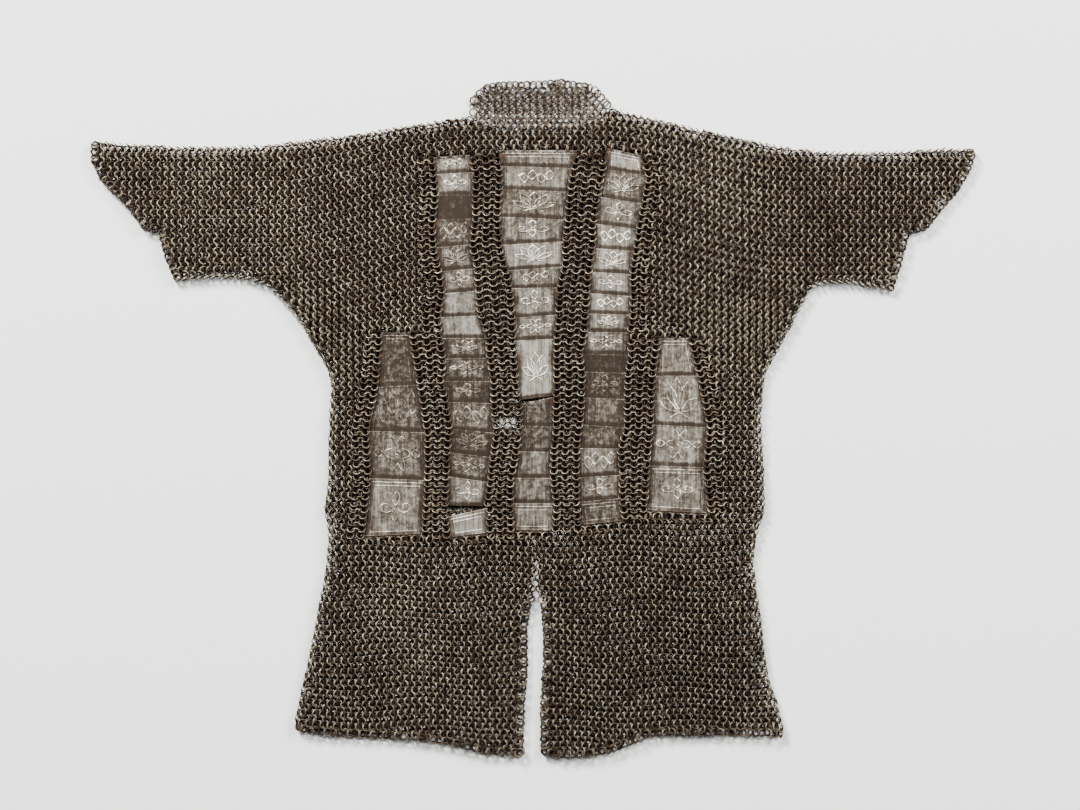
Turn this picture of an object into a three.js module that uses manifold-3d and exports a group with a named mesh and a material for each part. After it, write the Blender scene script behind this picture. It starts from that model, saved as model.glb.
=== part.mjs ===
// A shirt of mail and plate, laid flat with its back up. Millimetres, +Z up, neck toward +Y.
// Two layers of mail lie on each other; five columns of small plates are let into the upper one.
// X runs across the shirt and Y from hem to neck, both from the middle of the laid-out shirt.
import * as THREE from 'three';
import { mergeVertices } from 'three/addons/utils/BufferGeometryUtils.js';
import Module from 'manifold-3d';

const wasm = await Module();
wasm.setup();

// Driving sizes
const MAIL = 5.0; // thickness of woven mail: rings of 10.4 mm that lean 25 degrees
const SEAM = 0.3; // space between pieces that meet
const FOLD_RADIUS = 9; // reach of the rounding along a folded side
const FOLD_EDGE = 1.6; // thickness left at the very edge of a fold
const PLATE = 1.2; // thickness of a plate
const LAP = 4.5; // how far a plate reaches under the next one down
const LAP_INSET = 0.6; // a plate's covered end is this much narrower at each side
const PLATE_RISE = 2.2; // a plate's top end lies this much higher than its bottom end
const RIDGE = 1.6; // height of the ridge down the middle of the spine plates at the neck
const RIDGE_PLATES = 9; // it dies away over this many plates
const COLLAR_DROOP = 22; // length over which the collar comes down from the back to the surface
const COLLAR_FOLD_X = 62; // from here on the collar's end is folded double
const COLLAR_FOLD_SLOPE = 8;
const COLLAR_ROOT = 2; // the collar stays level this far from the neckline
const UPPER = MAIL + SEAM; // underside of the upper layer
const LIFT = 1.6; // height of the soft waves in the upper layer
const WAVE_FADE = 90; // length over which they come up
const SKIRT_TOP = -150;
const SKIRT_WAVE = 195; // from crest to crest
const CHEST_FOOT = 120;
const CHEST_EDGE = 135;
const CHEST_WAVE = 214;
const CHEST_SLANT = 0.6; // how far the chest's waves slant for each millimetre down
const SLEEVE_FOLD = 0.022; // share of a sleeve's width that its fold takes at each edge
const NECK_SPARE = 3; // mail past the neck seam before it is trimmed to it
const RIP_SIDES = 6;
const RIP_TURN = 0.4; // radians that a rip's first corner is turned by
const FAR = 500; // well past the shirt's edges

// How finely the walls are divided. A close pair is the two extra lines at each edge, as shares of the width.
const BACK_ACROSS = 16;
const FRONT_ACROSS = 8;
const TRUNK_DOWN = 26;
const CLOSE_ACROSS = [0.007, 0.02];
const CLOSE_DOWN = [0.005, 0.014];
const SLEEVE_ALONG = 13;
const SLEEVE_ACROSS = 6;
const SLEEVE_CLOSE = [0.012, 0.04];
const COLLAR_STEPS = 14;
const COLLAR_ROWS = 5;

const MAIL_LOOK = { color: 0x5b5348, roughness: 0.55, metalness: 0.85 };
const PLATE_LOOK = { color: 0x9a9388, roughness: 0.45, metalness: 0.9 };

// Edges of the laid-out shirt. Each row is [x, y].
const LEFT_ARMHOLE_X = -266.8;
const RIGHT_ARMHOLE_X = 296.7;
const LEFT_SHOULDER = [[LEFT_ARMHOLE_X, 319.7], [-246, 322.6], [-213, 325.5], [-155, 335], [-109, 341.6]];
const NECKLINE = [[-75.9, 347.5], [-58, 336.5], [-23, 333], [6, 332.9], [40, 334.5], [69, 340], [88.6, 356]];
const RIGHT_SHOULDER = [[132, 345.6], [190, 332], [242, 320.5], [RIGHT_ARMHOLE_X, 310.3]];
const LEFT_ARMHOLE = [[LEFT_ARMHOLE_X, 319.7], [LEFT_ARMHOLE_X, 105]];
const RIGHT_ARMHOLE = [[RIGHT_ARMHOLE_X, 310.3], [RIGHT_ARMHOLE_X, 109.8]];
const LEFT_SIDE = [
  [-257.6, 90.3], [-247.3, 71.9], [-236.9, 53.5], [-233.5, 35], [-236, -2], [-237, -38], [-238, -75],
  [-241.5, -103], [-237, -130], [-239, -167], [-245, -199.5], [-253, -241], [-260, -278], [-269, -314.5],
  [-275, -344], [-274.5, -356],
];
const RIGHT_SIDE = [
  [288.7, 96], [280.6, 81], [272.6, 67], [264.5, 51], [261, 27], [259, -2], [261, -38], [263.4, -75],
  [263.4, -107.5], [254, -135], [250.7, -167], [254, -195], [260, -232], [263.4, -266], [268, -298],
  [278, -326], [285, -356], [284, -365],
];
const LEFT_HEM = [
  [-274.5, -356], [-266, -360], [-232, -364.6], [-177, -367], [-122, -371], [-88, -377], [-55, -385.7],
  [-14, -387],
];
const RIGHT_HEM = [
  [7, -385], [26.5, -390], [58.5, -389], [91.5, -382.4], [132, -365], [216, -364], [284, -365],
];

// The slit in the back, from its top down each side. Each row is [y, left x, right x].
const SLIT = [
  [-207.6, 1, 1.4], [-213, -4.6, 6.9], [-241, -9.2, 9.8], [-282, -8.5, 9.6], [-330, -12, 6.1],
  [-395, -13.8, 6.9],
];

// The opening of the hidden front, from neck to hem. Each row is [y, left x, right x].
const OPENING = [
  [400, -23.4, -22.6], [27, -23.4, -22.6], [15.5, -33, -20.5], [-0.6, -46, -18.5], [-15.5, -39, -19.5],
  [-27, -24, -21.7], [-100, -17, -16.2], [-145.5, -1, 0.5], [-180, -0.5, 4.6], [-208, -4, 6.5],
  [-241, -9.2, 10.2], [-282, -8.5, 9.6], [-330, -12, 6.1], [-395, -13.8, 6.9],
];

// Sleeves: upper edge, lower edge and cuff. Each row is [x, y].
const LEFT_SLEEVE = {
  upper: [
    [-509, 316], [-495, 318.5], [-471.5, 315.7], [-404.8, 312.6], [-315, 313.4], [LEFT_ARMHOLE_X, 319.7],
  ],
  lower: [
    [-413, 157], [-385, 159.3], [-355, 160.4], [-325.5, 158], [-309, 152.4], [-295.6, 141], [-284, 127],
    [LEFT_ARMHOLE_X, 105],
  ],
  cuff: [
    [-509, 316], [-509, 295], [-499, 274], [-484, 258], [-466, 240.4], [-449.7, 217], [-432, 212],
    [-428, 197], [-424, 183], [-413, 157],
  ],
};
const RIGHT_SLEEVE = {
  upper: [[503, 309], [469, 310], [425.5, 308], [381, 306.5], [337, 306.5], [RIGHT_ARMHOLE_X, 310.3]],
  lower: [[410.6, 145.5], [388.7, 150], [352, 154], [330, 153.5], [317.4, 149], [311.7, 135.6],
    [RIGHT_ARMHOLE_X, 109.8]],
  cuff: [[503, 309], [505, 300], [498.6, 281.6], [484, 258], [472, 245], [450, 217], [429.6, 211], [422, 183],
    [410.6, 145.5]],
};
const COLLAR = {
  left: [[-75.3, 348], [-74.7, 366]],
  top: [
    [-74.7, 366], [-66.7, 375.5], [-56, 383.5], [-40, 387], [11.5, 388], [29, 389.8], [58.6, 386],
    [71, 380.6], [78, 373],
  ],
  right: [[88, 356.6], [87.4, 360.5], [78, 373]],
};

// Small rips in the back, beside plates. Each row is [x, y, half width, half height].
const RIPS = [[-193, 39.5, 6.5, 8], [-113.5, 48, 4.5, 4.5]];

// Plate columns. Each row of a run is a plate's top edge as [left x, left y, right x, right y],
// and the last row is the bottom edge of the run's last plate.
const COLUMNS = [
  {
    name: 'spine_plate',
    ridge: RIDGE,
    runs: [
      [
        [-42.2, 307.2, 49.5, 307.2], [-39.3, 289.2, 42.9, 286.9], [-39.3, 262.8, 39.1, 259.9],
        [-42, 231.2, 36.2, 228], [-39.7, 198.8, 33.7, 202.9], [-32, 169.5, 33.4, 174.2],
        [-27.6, 149.2, 26, 150.2], [-24.6, 115.3, 26, 119], [-24.2, 89.1, 23, 91.4], [-18.7, 20.9, 23, 26.1],
      ],
      [
        [-16.6, 16.7, 22.3, 24.9], [-16.6, -7.9, 23, -9.4], [-19.6, -37.4, 20.1, -38.5],
        [-26.1, -68.1, 19.4, -68.1], [-26.8, -97.2, 23.5, -97.2], [-26.1, -131.7, 21.6, -131.7],
      ],
    ],
  },
  {
    name: 'left_inner_plate',
    ridge: 0,
    runs: [
      [
        [-117, 299.2, -75.2, 301.9], [-114.8, 279.8, -69.3, 282.3], [-112.6, 256.3, -70, 256.3],
        [-116.3, 227.4, -69.3, 229.2], [-115.5, 195.8, -73.7, 199.5], [-108.9, 168.5, -67, 172.2],
        [-104.5, 143.2, -66.4, 146.5], [-111.1, 116, -63.5, 117.9], [-108.1, 92.2, -54.6, 92.2],
        [-103.8, 68.5, -53.2, 69.6], [-106.8, 42.8, -48.9, 42.8], [-101, 19, -48.9, 17.5],
        [-96.6, -12.2, -45.2, -16.6], [-99.6, -38.8, -49.7, -44.3], [-100.3, -66.2, -52.7, -72.9],
        [-101.8, -100, -56.4, -100.9],
      ],
      [[-101.8, -113.3, -54.2, -102.3], [-98.1, -139.6, -52.7, -134.6]],
    ],
  },
  {
    name: 'right_inner_plate',
    ridge: 0,
    runs: [
      [
        [81.1, 310.2, 122.1, 301.3], [78.9, 285.9, 129.5, 278.5], [72.3, 254.4, 123.6, 246.3],
        [67.9, 223.6, 117.8, 217], [67.3, 195.2, 114.2, 192.2], [62.9, 168, 110.5, 165.4],
        [60.7, 143.8, 111.3, 140.1], [59.2, 120.3, 110.5, 118.8], [58.5, 99.4, 107.6, 98.3],
        [52, 74.3, 109.3, 72.8], [55.7, 53.7, 104.8, 52.2], [55, 24, 104.1, 22.2],
        [52.7, -6.8, 104.8, -10.8], [49.1, -33.8, 96.7, -34.5], [49.1, -67.9, 98.9, -64.6],
        [49.1, -95.8, 98.2, -91.3], [51.3, -125.8, 103.4, -120.6],
      ],
    ],
  },
  {
    name: 'left_side_plate',
    ridge: 0,
    runs: [
      [
        [-176.3, 98.7, -142.5, 98.7], [-182, 35.8, -132.8, 39], [-192.5, -14.3, -124.7, -15.9],
        [-189.8, -68.4, -124.2, -70.7], [-198.6, -138.9, -127.8, -135.5],
      ],
    ],
  },
  {
    name: 'right_side_plate',
    ridge: 0,
    runs: [
      [
        [141.7, 92.2, 177.2, 92.2], [136, 49, 188.5, 49], [133.6, -7, 199.8, -10.2],
        [129.6, -53.8, 194.9, -55.9], [126, -108.3, 201.3, -112.4],
      ],
    ],
  },
];

const lerp = (a, b, t) => a + (b - a) * t;

function smooth(t) {
  const c = Math.min(1, Math.max(0, t));
  return c * c * (3 - 2 * c);
}

// A point at a fraction of the way along a row of points.
function along(points) {
  const lengths = [0];
  for (let i = 1; i < points.length; i += 1) {
    const step = Math.hypot(points[i][0] - points[i - 1][0], points[i][1] - points[i - 1][1]);
    lengths.push(lengths[i - 1] + step);
  }
  const total = lengths[lengths.length - 1];
  return (t) => {
    const goal = t * total;
    let i = 1;
    while (i < points.length - 1 && lengths[i] < goal) i += 1;
    const part = (goal - lengths[i - 1]) / (lengths[i] - lengths[i - 1]);
    return [lerp(points[i - 1][0], points[i][0], part), lerp(points[i - 1][1], points[i][1], part)];
  };
}

// A patch stretched between four edges that share their corners. u runs left to right, v top to bottom.
function patch(top, bottom, left, right) {
  const edges = [top, bottom, left, right].map(along);
  return (u, v) => {
    const [t, b, l, r] = [edges[0](u), edges[1](u), edges[2](v), edges[3](v)];
    const corners = [edges[0](0), edges[0](1), edges[1](0), edges[1](1)];
    return [0, 1].map((k) => lerp(t[k], b[k], v) + lerp(l[k], r[k], u)
      - lerp(lerp(corners[0][k], corners[1][k], u), lerp(corners[2][k], corners[3][k], u), v));
  };
}

// Evenly spaced fractions with two more lines close to each end, for rounding.
function fractions(steps, close) {
  const inner = Array.from({ length: steps + 1 }, (_, i) => lerp(close[1], 1 - close[1], i / steps));
  return [0, close[0], ...inner, 1 - close[0], 1];
}

const even = (steps) => Array.from({ length: steps + 1 }, (_, i) => i / steps);

function meshGeometry(points, triangles) {
  const geometry = new THREE.BufferGeometry();
  geometry.setAttribute('position', new THREE.Float32BufferAttribute(points.flat(), 3));
  geometry.setIndex(triangles.flat());
  return geometry;
}

// A closed body over a grid whose points are [x, y, underside, top].
function bodyOver(grid) {
  const row = grid[0].length;
  const cells = grid.flat();
  const layer = cells.length;
  const points = [
    ...cells.map(([x, y, , high]) => [x, y, high]),
    ...cells.map(([x, y, low]) => [x, y, low]),
  ];
  const triangles = [];
  for (let j = 0; j < grid.length - 1; j += 1) {
    for (let i = 0; i < row - 1; i += 1) {
      const [a, b, c, d] = [j * row + i, j * row + i + 1, (j + 1) * row + i, (j + 1) * row + i + 1];
      triangles.push([a, c, b], [b, c, d]);
      triangles.push([a + layer, b + layer, c + layer], [b + layer, d + layer, c + layer]);
    }
  }
  const rim = [];
  for (let i = 0; i < row - 1; i += 1) rim.push(i);
  for (let j = 0; j < grid.length - 1; j += 1) rim.push(j * row + row - 1);
  for (let i = row - 1; i > 0; i -= 1) rim.push((grid.length - 1) * row + i);
  for (let j = grid.length - 1; j > 0; j -= 1) rim.push(j * row);
  rim.forEach((a, k) => {
    const b = rim[(k + 1) % rim.length];
    triangles.push([a, b, a + layer], [b, b + layer, a + layer]);
  });
  return meshGeometry(points, triangles);
}

// A wall laid over a patch: levels(x, y) gives its underside and its top there.
function wall(place, us, vs, levels) {
  return bodyOver(vs.map((v) => us.map((u) => {
    const [x, y] = place(u, v);
    return [x, y, ...levels(x, y)];
  })));
}

// How full the wall is near a folded edge: 0 at the edge, 1 from the fold's reach inward.
function fullness(distance) {
  const part = 1 - Math.min(1, distance / FOLD_RADIUS);
  return Math.sqrt(1 - part * part);
}

// Soft waves where the upper layer doesn't lie quite flat: across the skirts and slanting down the chest.
function waves(x, y) {
  const ripple = (t) => 0.5 - 0.5 * Math.cos(2 * Math.PI * t);
  const skirt = smooth((SKIRT_TOP - y) / WAVE_FADE) * ripple(x / SKIRT_WAVE);
  const outside = smooth((Math.abs(x) - CHEST_EDGE) / (WAVE_FADE / 3));
  const slanting = ripple((Math.abs(x) + CHEST_SLANT * y) / CHEST_WAVE);
  const chest = smooth((y - CHEST_FOOT) / WAVE_FADE) * outside * slanting;
  return LIFT * Math.max(skirt, chest);
}

function toSolid(geometry) {
  const bare = geometry.clone();
  bare.deleteAttribute('normal');
  bare.deleteAttribute('uv');
  const merged = mergeVertices(bare, 1e-4);
  return new wasm.Manifold(new wasm.Mesh({
    numProp: 3,
    vertProperties: new Float32Array(merged.attributes.position.array),
    triVerts: new Uint32Array(merged.index.array),
  }));
}

function fromSolid(solid) {
  const { vertProperties, triVerts } = solid.getMesh();
  const geometry = new THREE.BufferGeometry();
  geometry.setAttribute('position', new THREE.Float32BufferAttribute(vertProperties, 3));
  geometry.setIndex(new THREE.Uint32BufferAttribute(triVerts, 1));
  return geometry;
}

// A cutter that reaches through the upper layer.
function cutter(outline) {
  const shape = new THREE.Shape(outline.map(([x, y]) => new THREE.Vector2(x, y)));
  const block = new THREE.ExtrudeGeometry(shape, { depth: 4 * MAIL, bevelEnabled: false });
  return toSolid(block.translate(0, 0, UPPER - 2 * MAIL));
}

// The outline of a whole plate column with the seam's space around it.
function slotOutline(column) {
  const rows = column.runs.flatMap((run) => run.map(([leftX, leftY, rightX, rightY], k) => {
    const grow = (k === 0 ? SEAM : 0) - (k === run.length - 1 ? SEAM : 0);
    return { left: [leftX - SEAM, leftY + grow], right: [rightX + SEAM, rightY + grow] };
  }));
  return [...rows.map((row) => row.left), ...rows.map((row) => row.right).reverse()];
}

function slitOutline() {
  return [...SLIT.map(([y, left]) => [left, y]), ...SLIT.map(([y, , right]) => [right, y]).reverse()];
}

function ripOutline([x, y, halfWidth, halfHeight]) {
  return even(RIP_SIDES).slice(1).map((t) => [
    x + halfWidth * Math.cos(2 * Math.PI * t + RIP_TURN),
    y + halfHeight * Math.sin(2 * Math.PI * t + RIP_TURN),
  ]);
}

// Distance from a point to a row of points.
function distanceTo(points, x, y) {
  let best = Infinity;
  for (let i = 1; i < points.length; i += 1) {
    const [ax, ay] = points[i - 1];
    const [dx, dy] = [points[i][0] - ax, points[i][1] - ay];
    const t = Math.min(1, Math.max(0, ((x - ax) * dx + (y - ay) * dy) / (dx * dx + dy * dy)));
    best = Math.min(best, Math.hypot(x - ax - t * dx, y - ay - t * dy));
  }
  return best;
}

const TRUNK_TOP = [
  ...LEFT_SHOULDER,
  ...NECKLINE.map(([x, y]) => [x, y + NECK_SPARE]),
  ...RIGHT_SHOULDER,
];
const TRUNK_LEFT = [...LEFT_ARMHOLE, ...LEFT_SIDE];
const TRUNK_RIGHT = [...RIGHT_ARMHOLE, ...RIGHT_SIDE];
const FOLDED_EDGES = [
  LEFT_SHOULDER,
  [NECKLINE[NECKLINE.length - 1], ...RIGHT_SHOULDER],
  [LEFT_ARMHOLE[1], ...LEFT_SIDE],
  [RIGHT_ARMHOLE[1], ...RIGHT_SIDE],
];
const foldDistance = (x, y) => Math.min(...FOLDED_EDGES.map((edge) => distanceTo(edge, x, y)));

// The collar's lower edge, which the trunk is trimmed to.
function collarSeam() {
  const inner = NECKLINE.slice(1, -1).map(([x, y]) => [x, y + SEAM]);
  return [COLLAR.left[0], ...inner, COLLAR.right[0]];
}

function neckOutline() {
  const edge = even(COLLAR_STEPS).map(along(collarSeam())).map(([x, y]) => [x, y - SEAM]);
  const [first, last] = [edge[0], edge[edge.length - 1]];
  edge[0] = [first[0] - SEAM, first[1]];
  edge[edge.length - 1] = [last[0] + SEAM, last[1]];
  return [[edge[0][0], FAR], ...edge, [last[0] + SEAM, FAR]];
}

const trunk = patch(TRUNK_TOP, [...LEFT_HEM, ...RIGHT_HEM], TRUNK_LEFT, TRUNK_RIGHT);

// The back, over the whole trunk, its top rounded down to the folded sides and shoulders.
function backPanel() {
  const levels = (x, y) => {
    const full = fullness(foldDistance(x, y));
    return [UPPER, UPPER + lerp(FOLD_EDGE, MAIL + waves(x, y), full)];
  };
  const [us, vs] = [fractions(BACK_ACROSS, CLOSE_ACROSS), fractions(TRUNK_DOWN, CLOSE_DOWN)];
  let solid = toSolid(wall(trunk, us, vs, levels));
  solid = solid.subtract(cutter(neckOutline()));
  for (const column of COLUMNS) solid = solid.subtract(cutter(slotOutline(column)));
  solid = solid.subtract(cutter(slitOutline()));
  for (const rip of RIPS) solid = solid.subtract(cutter(ripOutline(rip)));
  return fromSolid(solid);
}

// The front, flat below, its underside rounded up to the folded sides and shoulders.
function wholeFront() {
  const levels = (x, y) => [lerp(MAIL - FOLD_EDGE, 0, fullness(foldDistance(x, y))), MAIL];
  const [us, vs] = [fractions(FRONT_ACROSS, CLOSE_ACROSS), fractions(TRUNK_DOWN, CLOSE_DOWN)];
  return toSolid(wall(trunk, us, vs, levels)).subtract(cutter(neckOutline()));
}

// One half of the front: side 1 keeps what lies left of the opening, side 2 what lies right of it.
function frontHalf(side) {
  const edge = OPENING.map((row) => [row[side], row[0]]);
  const away = side === 1 ? FAR : -FAR;
  const others = [[away, edge[0][1]], ...edge, [away, edge[edge.length - 1][1]]];
  return fromSolid(wholeFront().subtract(cutter(others)));
}

// A sleeve as a flattened tube: sections from cuff to armhole, each a loop round both layers.
function sleeve({ upper, lower, cuff }, armholeX) {
  const inward = Math.sign(-armholeX);
  const seamX = armholeX - inward * SEAM;
  const [upperEdge, lowerEdge] = [upper, lower].map((edge) => {
    const end = edge[edge.length - 1];
    return [...edge.slice(0, -1), [seamX, end[1]]];
  });
  const armhole = [upperEdge, lowerEdge].map((edge) => edge[edge.length - 1]);
  const place = patch(upperEdge, lowerEdge, cuff, armhole);
  const foldAt = (x, y) => fullness(Math.min(distanceTo(upperEdge, x, y), distanceTo(lowerEdge, x, y)));
  const over = (x, y) => UPPER + lerp(FOLD_EDGE, MAIL + waves(x, y), foldAt(x, y));
  const under = (x, y) => lerp(MAIL - FOLD_EDGE, 0, foldAt(x, y));
  const outside = fractions(SLEEVE_ACROSS, SLEEVE_CLOSE);
  const inside = outside.map((v) => lerp(SLEEVE_FOLD, 1 - SLEEVE_FOLD, v));
  const loop = (u, vs, high, low) => {
    const at = (level) => (v) => {
      const [x, y] = place(u, v);
      return [x, y, level(x, y)];
    };
    return [...vs.map(at(high)), ...[...vs].reverse().map(at(low))];
  };
  const stations = even(SLEEVE_ALONG);
  const points = stations.flatMap((u) => [
    ...loop(u, outside, over, under),
    ...loop(u, inside, () => UPPER, () => MAIL),
  ]);
  const size = 2 * outside.length;
  const triangles = [];
  const quad = (a, b, c, d) => triangles.push([a, b, c], [b, d, c]);
  const end = (stations.length - 1) * 2 * size;
  for (let k = 0; k < size; k += 1) {
    const next = (k + 1) % size;
    for (let s = 0; s < stations.length - 1; s += 1) {
      const [a, b] = [s * 2 * size, (s + 1) * 2 * size];
      quad(a + k, a + next, b + k, b + next);
      quad(a + size + next, a + size + k, b + size + next, b + size + k);
    }
    quad(size + k, size + next, k, next);
    quad(end + k, end + next, end + size + k, end + size + next);
  }
  if (inward < 0) triangles.forEach((triangle) => triangle.reverse());
  return meshGeometry(points, triangles);
}

// The collar: one layer that comes down from the back to the surface, folded double at its right end.
function collarBand() {
  const place = patch(COLLAR.top, collarSeam(), [...COLLAR.left].reverse(), [...COLLAR.right].reverse());
  const levels = (x, y) => {
    const droop = 1 - smooth((distanceTo(NECKLINE, x, y) - COLLAR_ROOT) / COLLAR_DROOP);
    const folded = smooth((x - COLLAR_FOLD_X) / COLLAR_FOLD_SLOPE);
    const single = UPPER * droop;
    return [single, lerp(single + MAIL, UPPER + MAIL, folded)];
  };
  return wall(place, even(COLLAR_STEPS), even(COLLAR_ROWS), levels);
}

// One plate, from rows at its top edge, at the next plate's top edge and at its own covered end.
function plate(rows) {
  const drops = rows.map((row) => rows[0].middle[1] - row.middle[1]);
  const whole = drops[drops.length - 1];
  return bodyOver(rows.map(({ left, middle, right, ridge }, k) => {
    const low = UPPER + PLATE_RISE * (1 - drops[k] / whole);
    return [
      [...left, low, low + PLATE],
      [...middle, low + ridge, low + ridge + PLATE],
      [...right, low, low + PLATE],
    ];
  }));
}

// A cross line of a plate at a part of the way from one seam to the next, drawn in by an inset.
function crossLine(seams, step, inset, ridgeHeight) {
  const k = Math.min(Math.floor(step), seams.length - 2);
  const at = seams[k].map((value, i) => lerp(value, seams[k + 1][i], step - k));
  const left = [at[0] + inset, at[1]];
  const right = [at[2] - inset, at[3]];
  const middle = [lerp(left[0], right[0], 0.5), lerp(left[1], right[1], 0.5)];
  return { left, middle, right, ridge: ridgeHeight * Math.max(0, 1 - step / RIDGE_PLATES) };
}

const group = new THREE.Group();

function add(name, geometry, look) {
  const mesh = new THREE.Mesh(geometry, new THREE.MeshStandardMaterial(look));
  mesh.name = name;
  group.add(mesh);
}

add('back_mail', backPanel(), MAIL_LOOK);
add('front_left_mail', frontHalf(1), MAIL_LOOK);
add('front_right_mail', frontHalf(2), MAIL_LOOK);
add('left_sleeve', sleeve(LEFT_SLEEVE, LEFT_ARMHOLE_X), MAIL_LOOK);
add('right_sleeve', sleeve(RIGHT_SLEEVE, RIGHT_ARMHOLE_X), MAIL_LOOK);
add('collar', collarBand(), MAIL_LOOK);

for (const { name, ridge, runs } of COLUMNS) {
  const digits = runs.flat().length > 9 ? 2 : 1;
  let count = 0;
  runs.forEach((seams, run) => {
    const height = run === 0 ? ridge : 0;
    for (let i = 0; i < seams.length - 1; i += 1) {
      const rows = [crossLine(seams, i, 0, height), crossLine(seams, i + 1, 0, height)];
      if (i < seams.length - 2) {
        const next = seams[i + 1][1] - seams[i + 2][1];
        rows.push(crossLine(seams, i + 1 + LAP / next, LAP_INSET, height));
      }
      count += 1;
      add(`${name}_${String(count).padStart(digits, '0')}`, plate(rows), PLATE_LOOK);
    }
  });
}

// The origin is under the middle of the laid-out shirt, on the surface it lies on.
const box = new THREE.Box3().setFromObject(group);
const middle = box.getCenter(new THREE.Vector3());
group.position.set(-middle.x, -middle.y, -box.min.z);

export default group;
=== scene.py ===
"""A shirt of mail and plate laid flat with its back up: its rings, its plates and the studio round it."""

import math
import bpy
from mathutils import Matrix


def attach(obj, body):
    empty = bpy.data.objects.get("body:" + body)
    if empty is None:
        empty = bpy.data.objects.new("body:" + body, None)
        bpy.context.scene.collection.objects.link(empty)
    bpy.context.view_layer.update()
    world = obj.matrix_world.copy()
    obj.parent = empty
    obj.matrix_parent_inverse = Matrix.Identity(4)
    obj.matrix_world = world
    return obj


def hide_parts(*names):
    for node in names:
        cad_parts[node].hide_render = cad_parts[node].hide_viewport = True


bl_info = {
    "name": "Mail and plate shirt",
    "version": (1, 0, 0),
    "blender": (4, 5, 0),
    "location": "View3D > Sidebar > Mail shirt",
    "description": "Weaves the rings and forges the lapped plates of a mail and plate shirt, in a studio",
    "category": "Add Mesh",
}

import bpy
import numpy as np
from bpy.props import FloatProperty, IntProperty, PointerProperty, StringProperty
from mathutils import Vector
from mathutils.bvhtree import BVHTree

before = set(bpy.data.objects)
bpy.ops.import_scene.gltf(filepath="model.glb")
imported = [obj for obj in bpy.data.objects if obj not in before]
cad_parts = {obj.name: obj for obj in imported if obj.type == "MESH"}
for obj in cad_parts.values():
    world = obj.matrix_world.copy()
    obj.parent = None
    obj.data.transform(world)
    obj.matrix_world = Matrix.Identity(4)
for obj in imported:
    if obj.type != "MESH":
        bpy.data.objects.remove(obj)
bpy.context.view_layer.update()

MM = 0.001
BODY = "root"
MAIL_MATERIAL = "Drawn iron wire, riveted, old brown patina"
PLATE_MATERIAL = "Hammered steel plate, chased and worn"
FLOOR_MATERIAL = "Matt white paper sweep"

# Lengths below are millimetres in the shirt's own drawing, x across and y up the shirt.
# The drawing's origin lies this far from the frame's.
DRAWING_AT = np.array([2.136, 0.172])

# Layers of the laid-out shirt, and its soft waves
MAIL = 5.0
SEAM = 0.3
UPPER = MAIL + SEAM
LAYER_MIDDLE = 2.65
UPPER_PROUD = 0.3
FOLD_RADIUS = 9.0
PLATE = 1.2
PLATE_RISE = 2.2
LAP = 4.5
LAP_INSET = 0.6
RIDGE = 1.6
RIDGE_PLATES = 9
LIFT = 1.6
WAVE_FADE = 90.0
SKIRT_TOP = -150.0
SKIRT_WAVE = 195.0
CHEST_FOOT = 120.0
CHEST_EDGE = 135.0
CHEST_WAVE = 214.0
CHEST_WAVE_FADE = 30.0
CHEST_SLANT = 0.6

# How the rows of the weave lie, and how far apart they are
ROW_DROOP = 36.0
DROOP_START = 75.0
DROOP_REACH = 225.0
DROOP_FOOT = 20.0
DROOP_FADE = 190.0
SKIRT_SWING = 2.4
SKIRT_SWING_LENGTH = 150.0
SWING_SLANT = 60.0
SWING_TOP = -90.0
SKIRT_ROWS = 6.27
CHEST_ROWS = 5.6
YOKE_ROWS = 5.45
COLLAR_ROWS = 4.9
COLLAR_FOOT = 336.0
ROWS_CHANGE = 120.0
LATTICE_FOOT = -395.0
LATTICE_HEAD = 440.0
LATTICE_SIDE = 530.0

# Where rings may lie. The lower layer's lie under the upper one's gaps.
LOWER_SHIFT = 2.0
FOLD_CLEAR = 5.5
FOLD_TILT = math.radians(62)
FOLD_TILT_REACH = 15.0
FOLD_TILT_FALL = 1.4
EDGE_CLEAR = 7.6
EDGE_LEAN = 0.7
PROBE = 2.0
COLUMN_SIDE_CLEAR = 3.0
COLUMN_END_CLEAR = 3.5
RIP_CLEAR = 2.6
OPENING_CLEAR = 2.4
OPENING_EDGE_CLEAR = 2.0
FLOOR_CLEAR = 0.02
YOKE_FOOT = 100.0
SKIRT_HEAD = -140.0
LINK_TOP = 303.0
LINK_FOOT = -137.0
LINK_OUT = 2.0
FREE_SIDE_OUT = 3.0
LINK_END_OUT = 2.5
COLLAR_LEAN = 0.5
COLLAR_FIT = 1.04

# A ring's wire is three-sided here, as broad as the real wire and smoothly shaded, and riveting broadens
# its lap. The section's corners reach from -1 to 1 both across and up.
RING_SIDES = 3
LAP_BROADER = 1.35
SECTION_ANGLES = np.pi / 2 + np.arange(RING_SIDES) * 2 * np.pi / RING_SIDES
SECTION_ACROSS = np.cos(SECTION_ANGLES) / np.cos(SECTION_ANGLES).max()
SECTION_UP = (np.sin(SECTION_ANGLES) - 0.25) / 0.75

# How rings differ from one another
LEAN_SPREAD = math.radians(5)
SIZE_SPREAD = 0.02
PLACE_SPREAD = 0.28
PLACE_LIMIT = 2 * PLACE_SPREAD
PLACE_SHARES = (1, 1, 0.5)
# Wear sets a ring's tone. Its rise with height on each ring is partly rubbing and partly painted light: a
# painted highlight on the crowns and painted shade on the low wire. The hidden layer's low start is partly
# unrubbed iron and partly painted shade in the gaps.
WEAR_MIDDLE = 0.42
HIDDEN_WEAR_AND_SHADE = 0.1
WEAR_AND_SHADE_RISE = 0.42
WEAR_SPREAD = 0.1
RUST_MIDDLE = 0.3
RUST_SPREAD = 0.25

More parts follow.
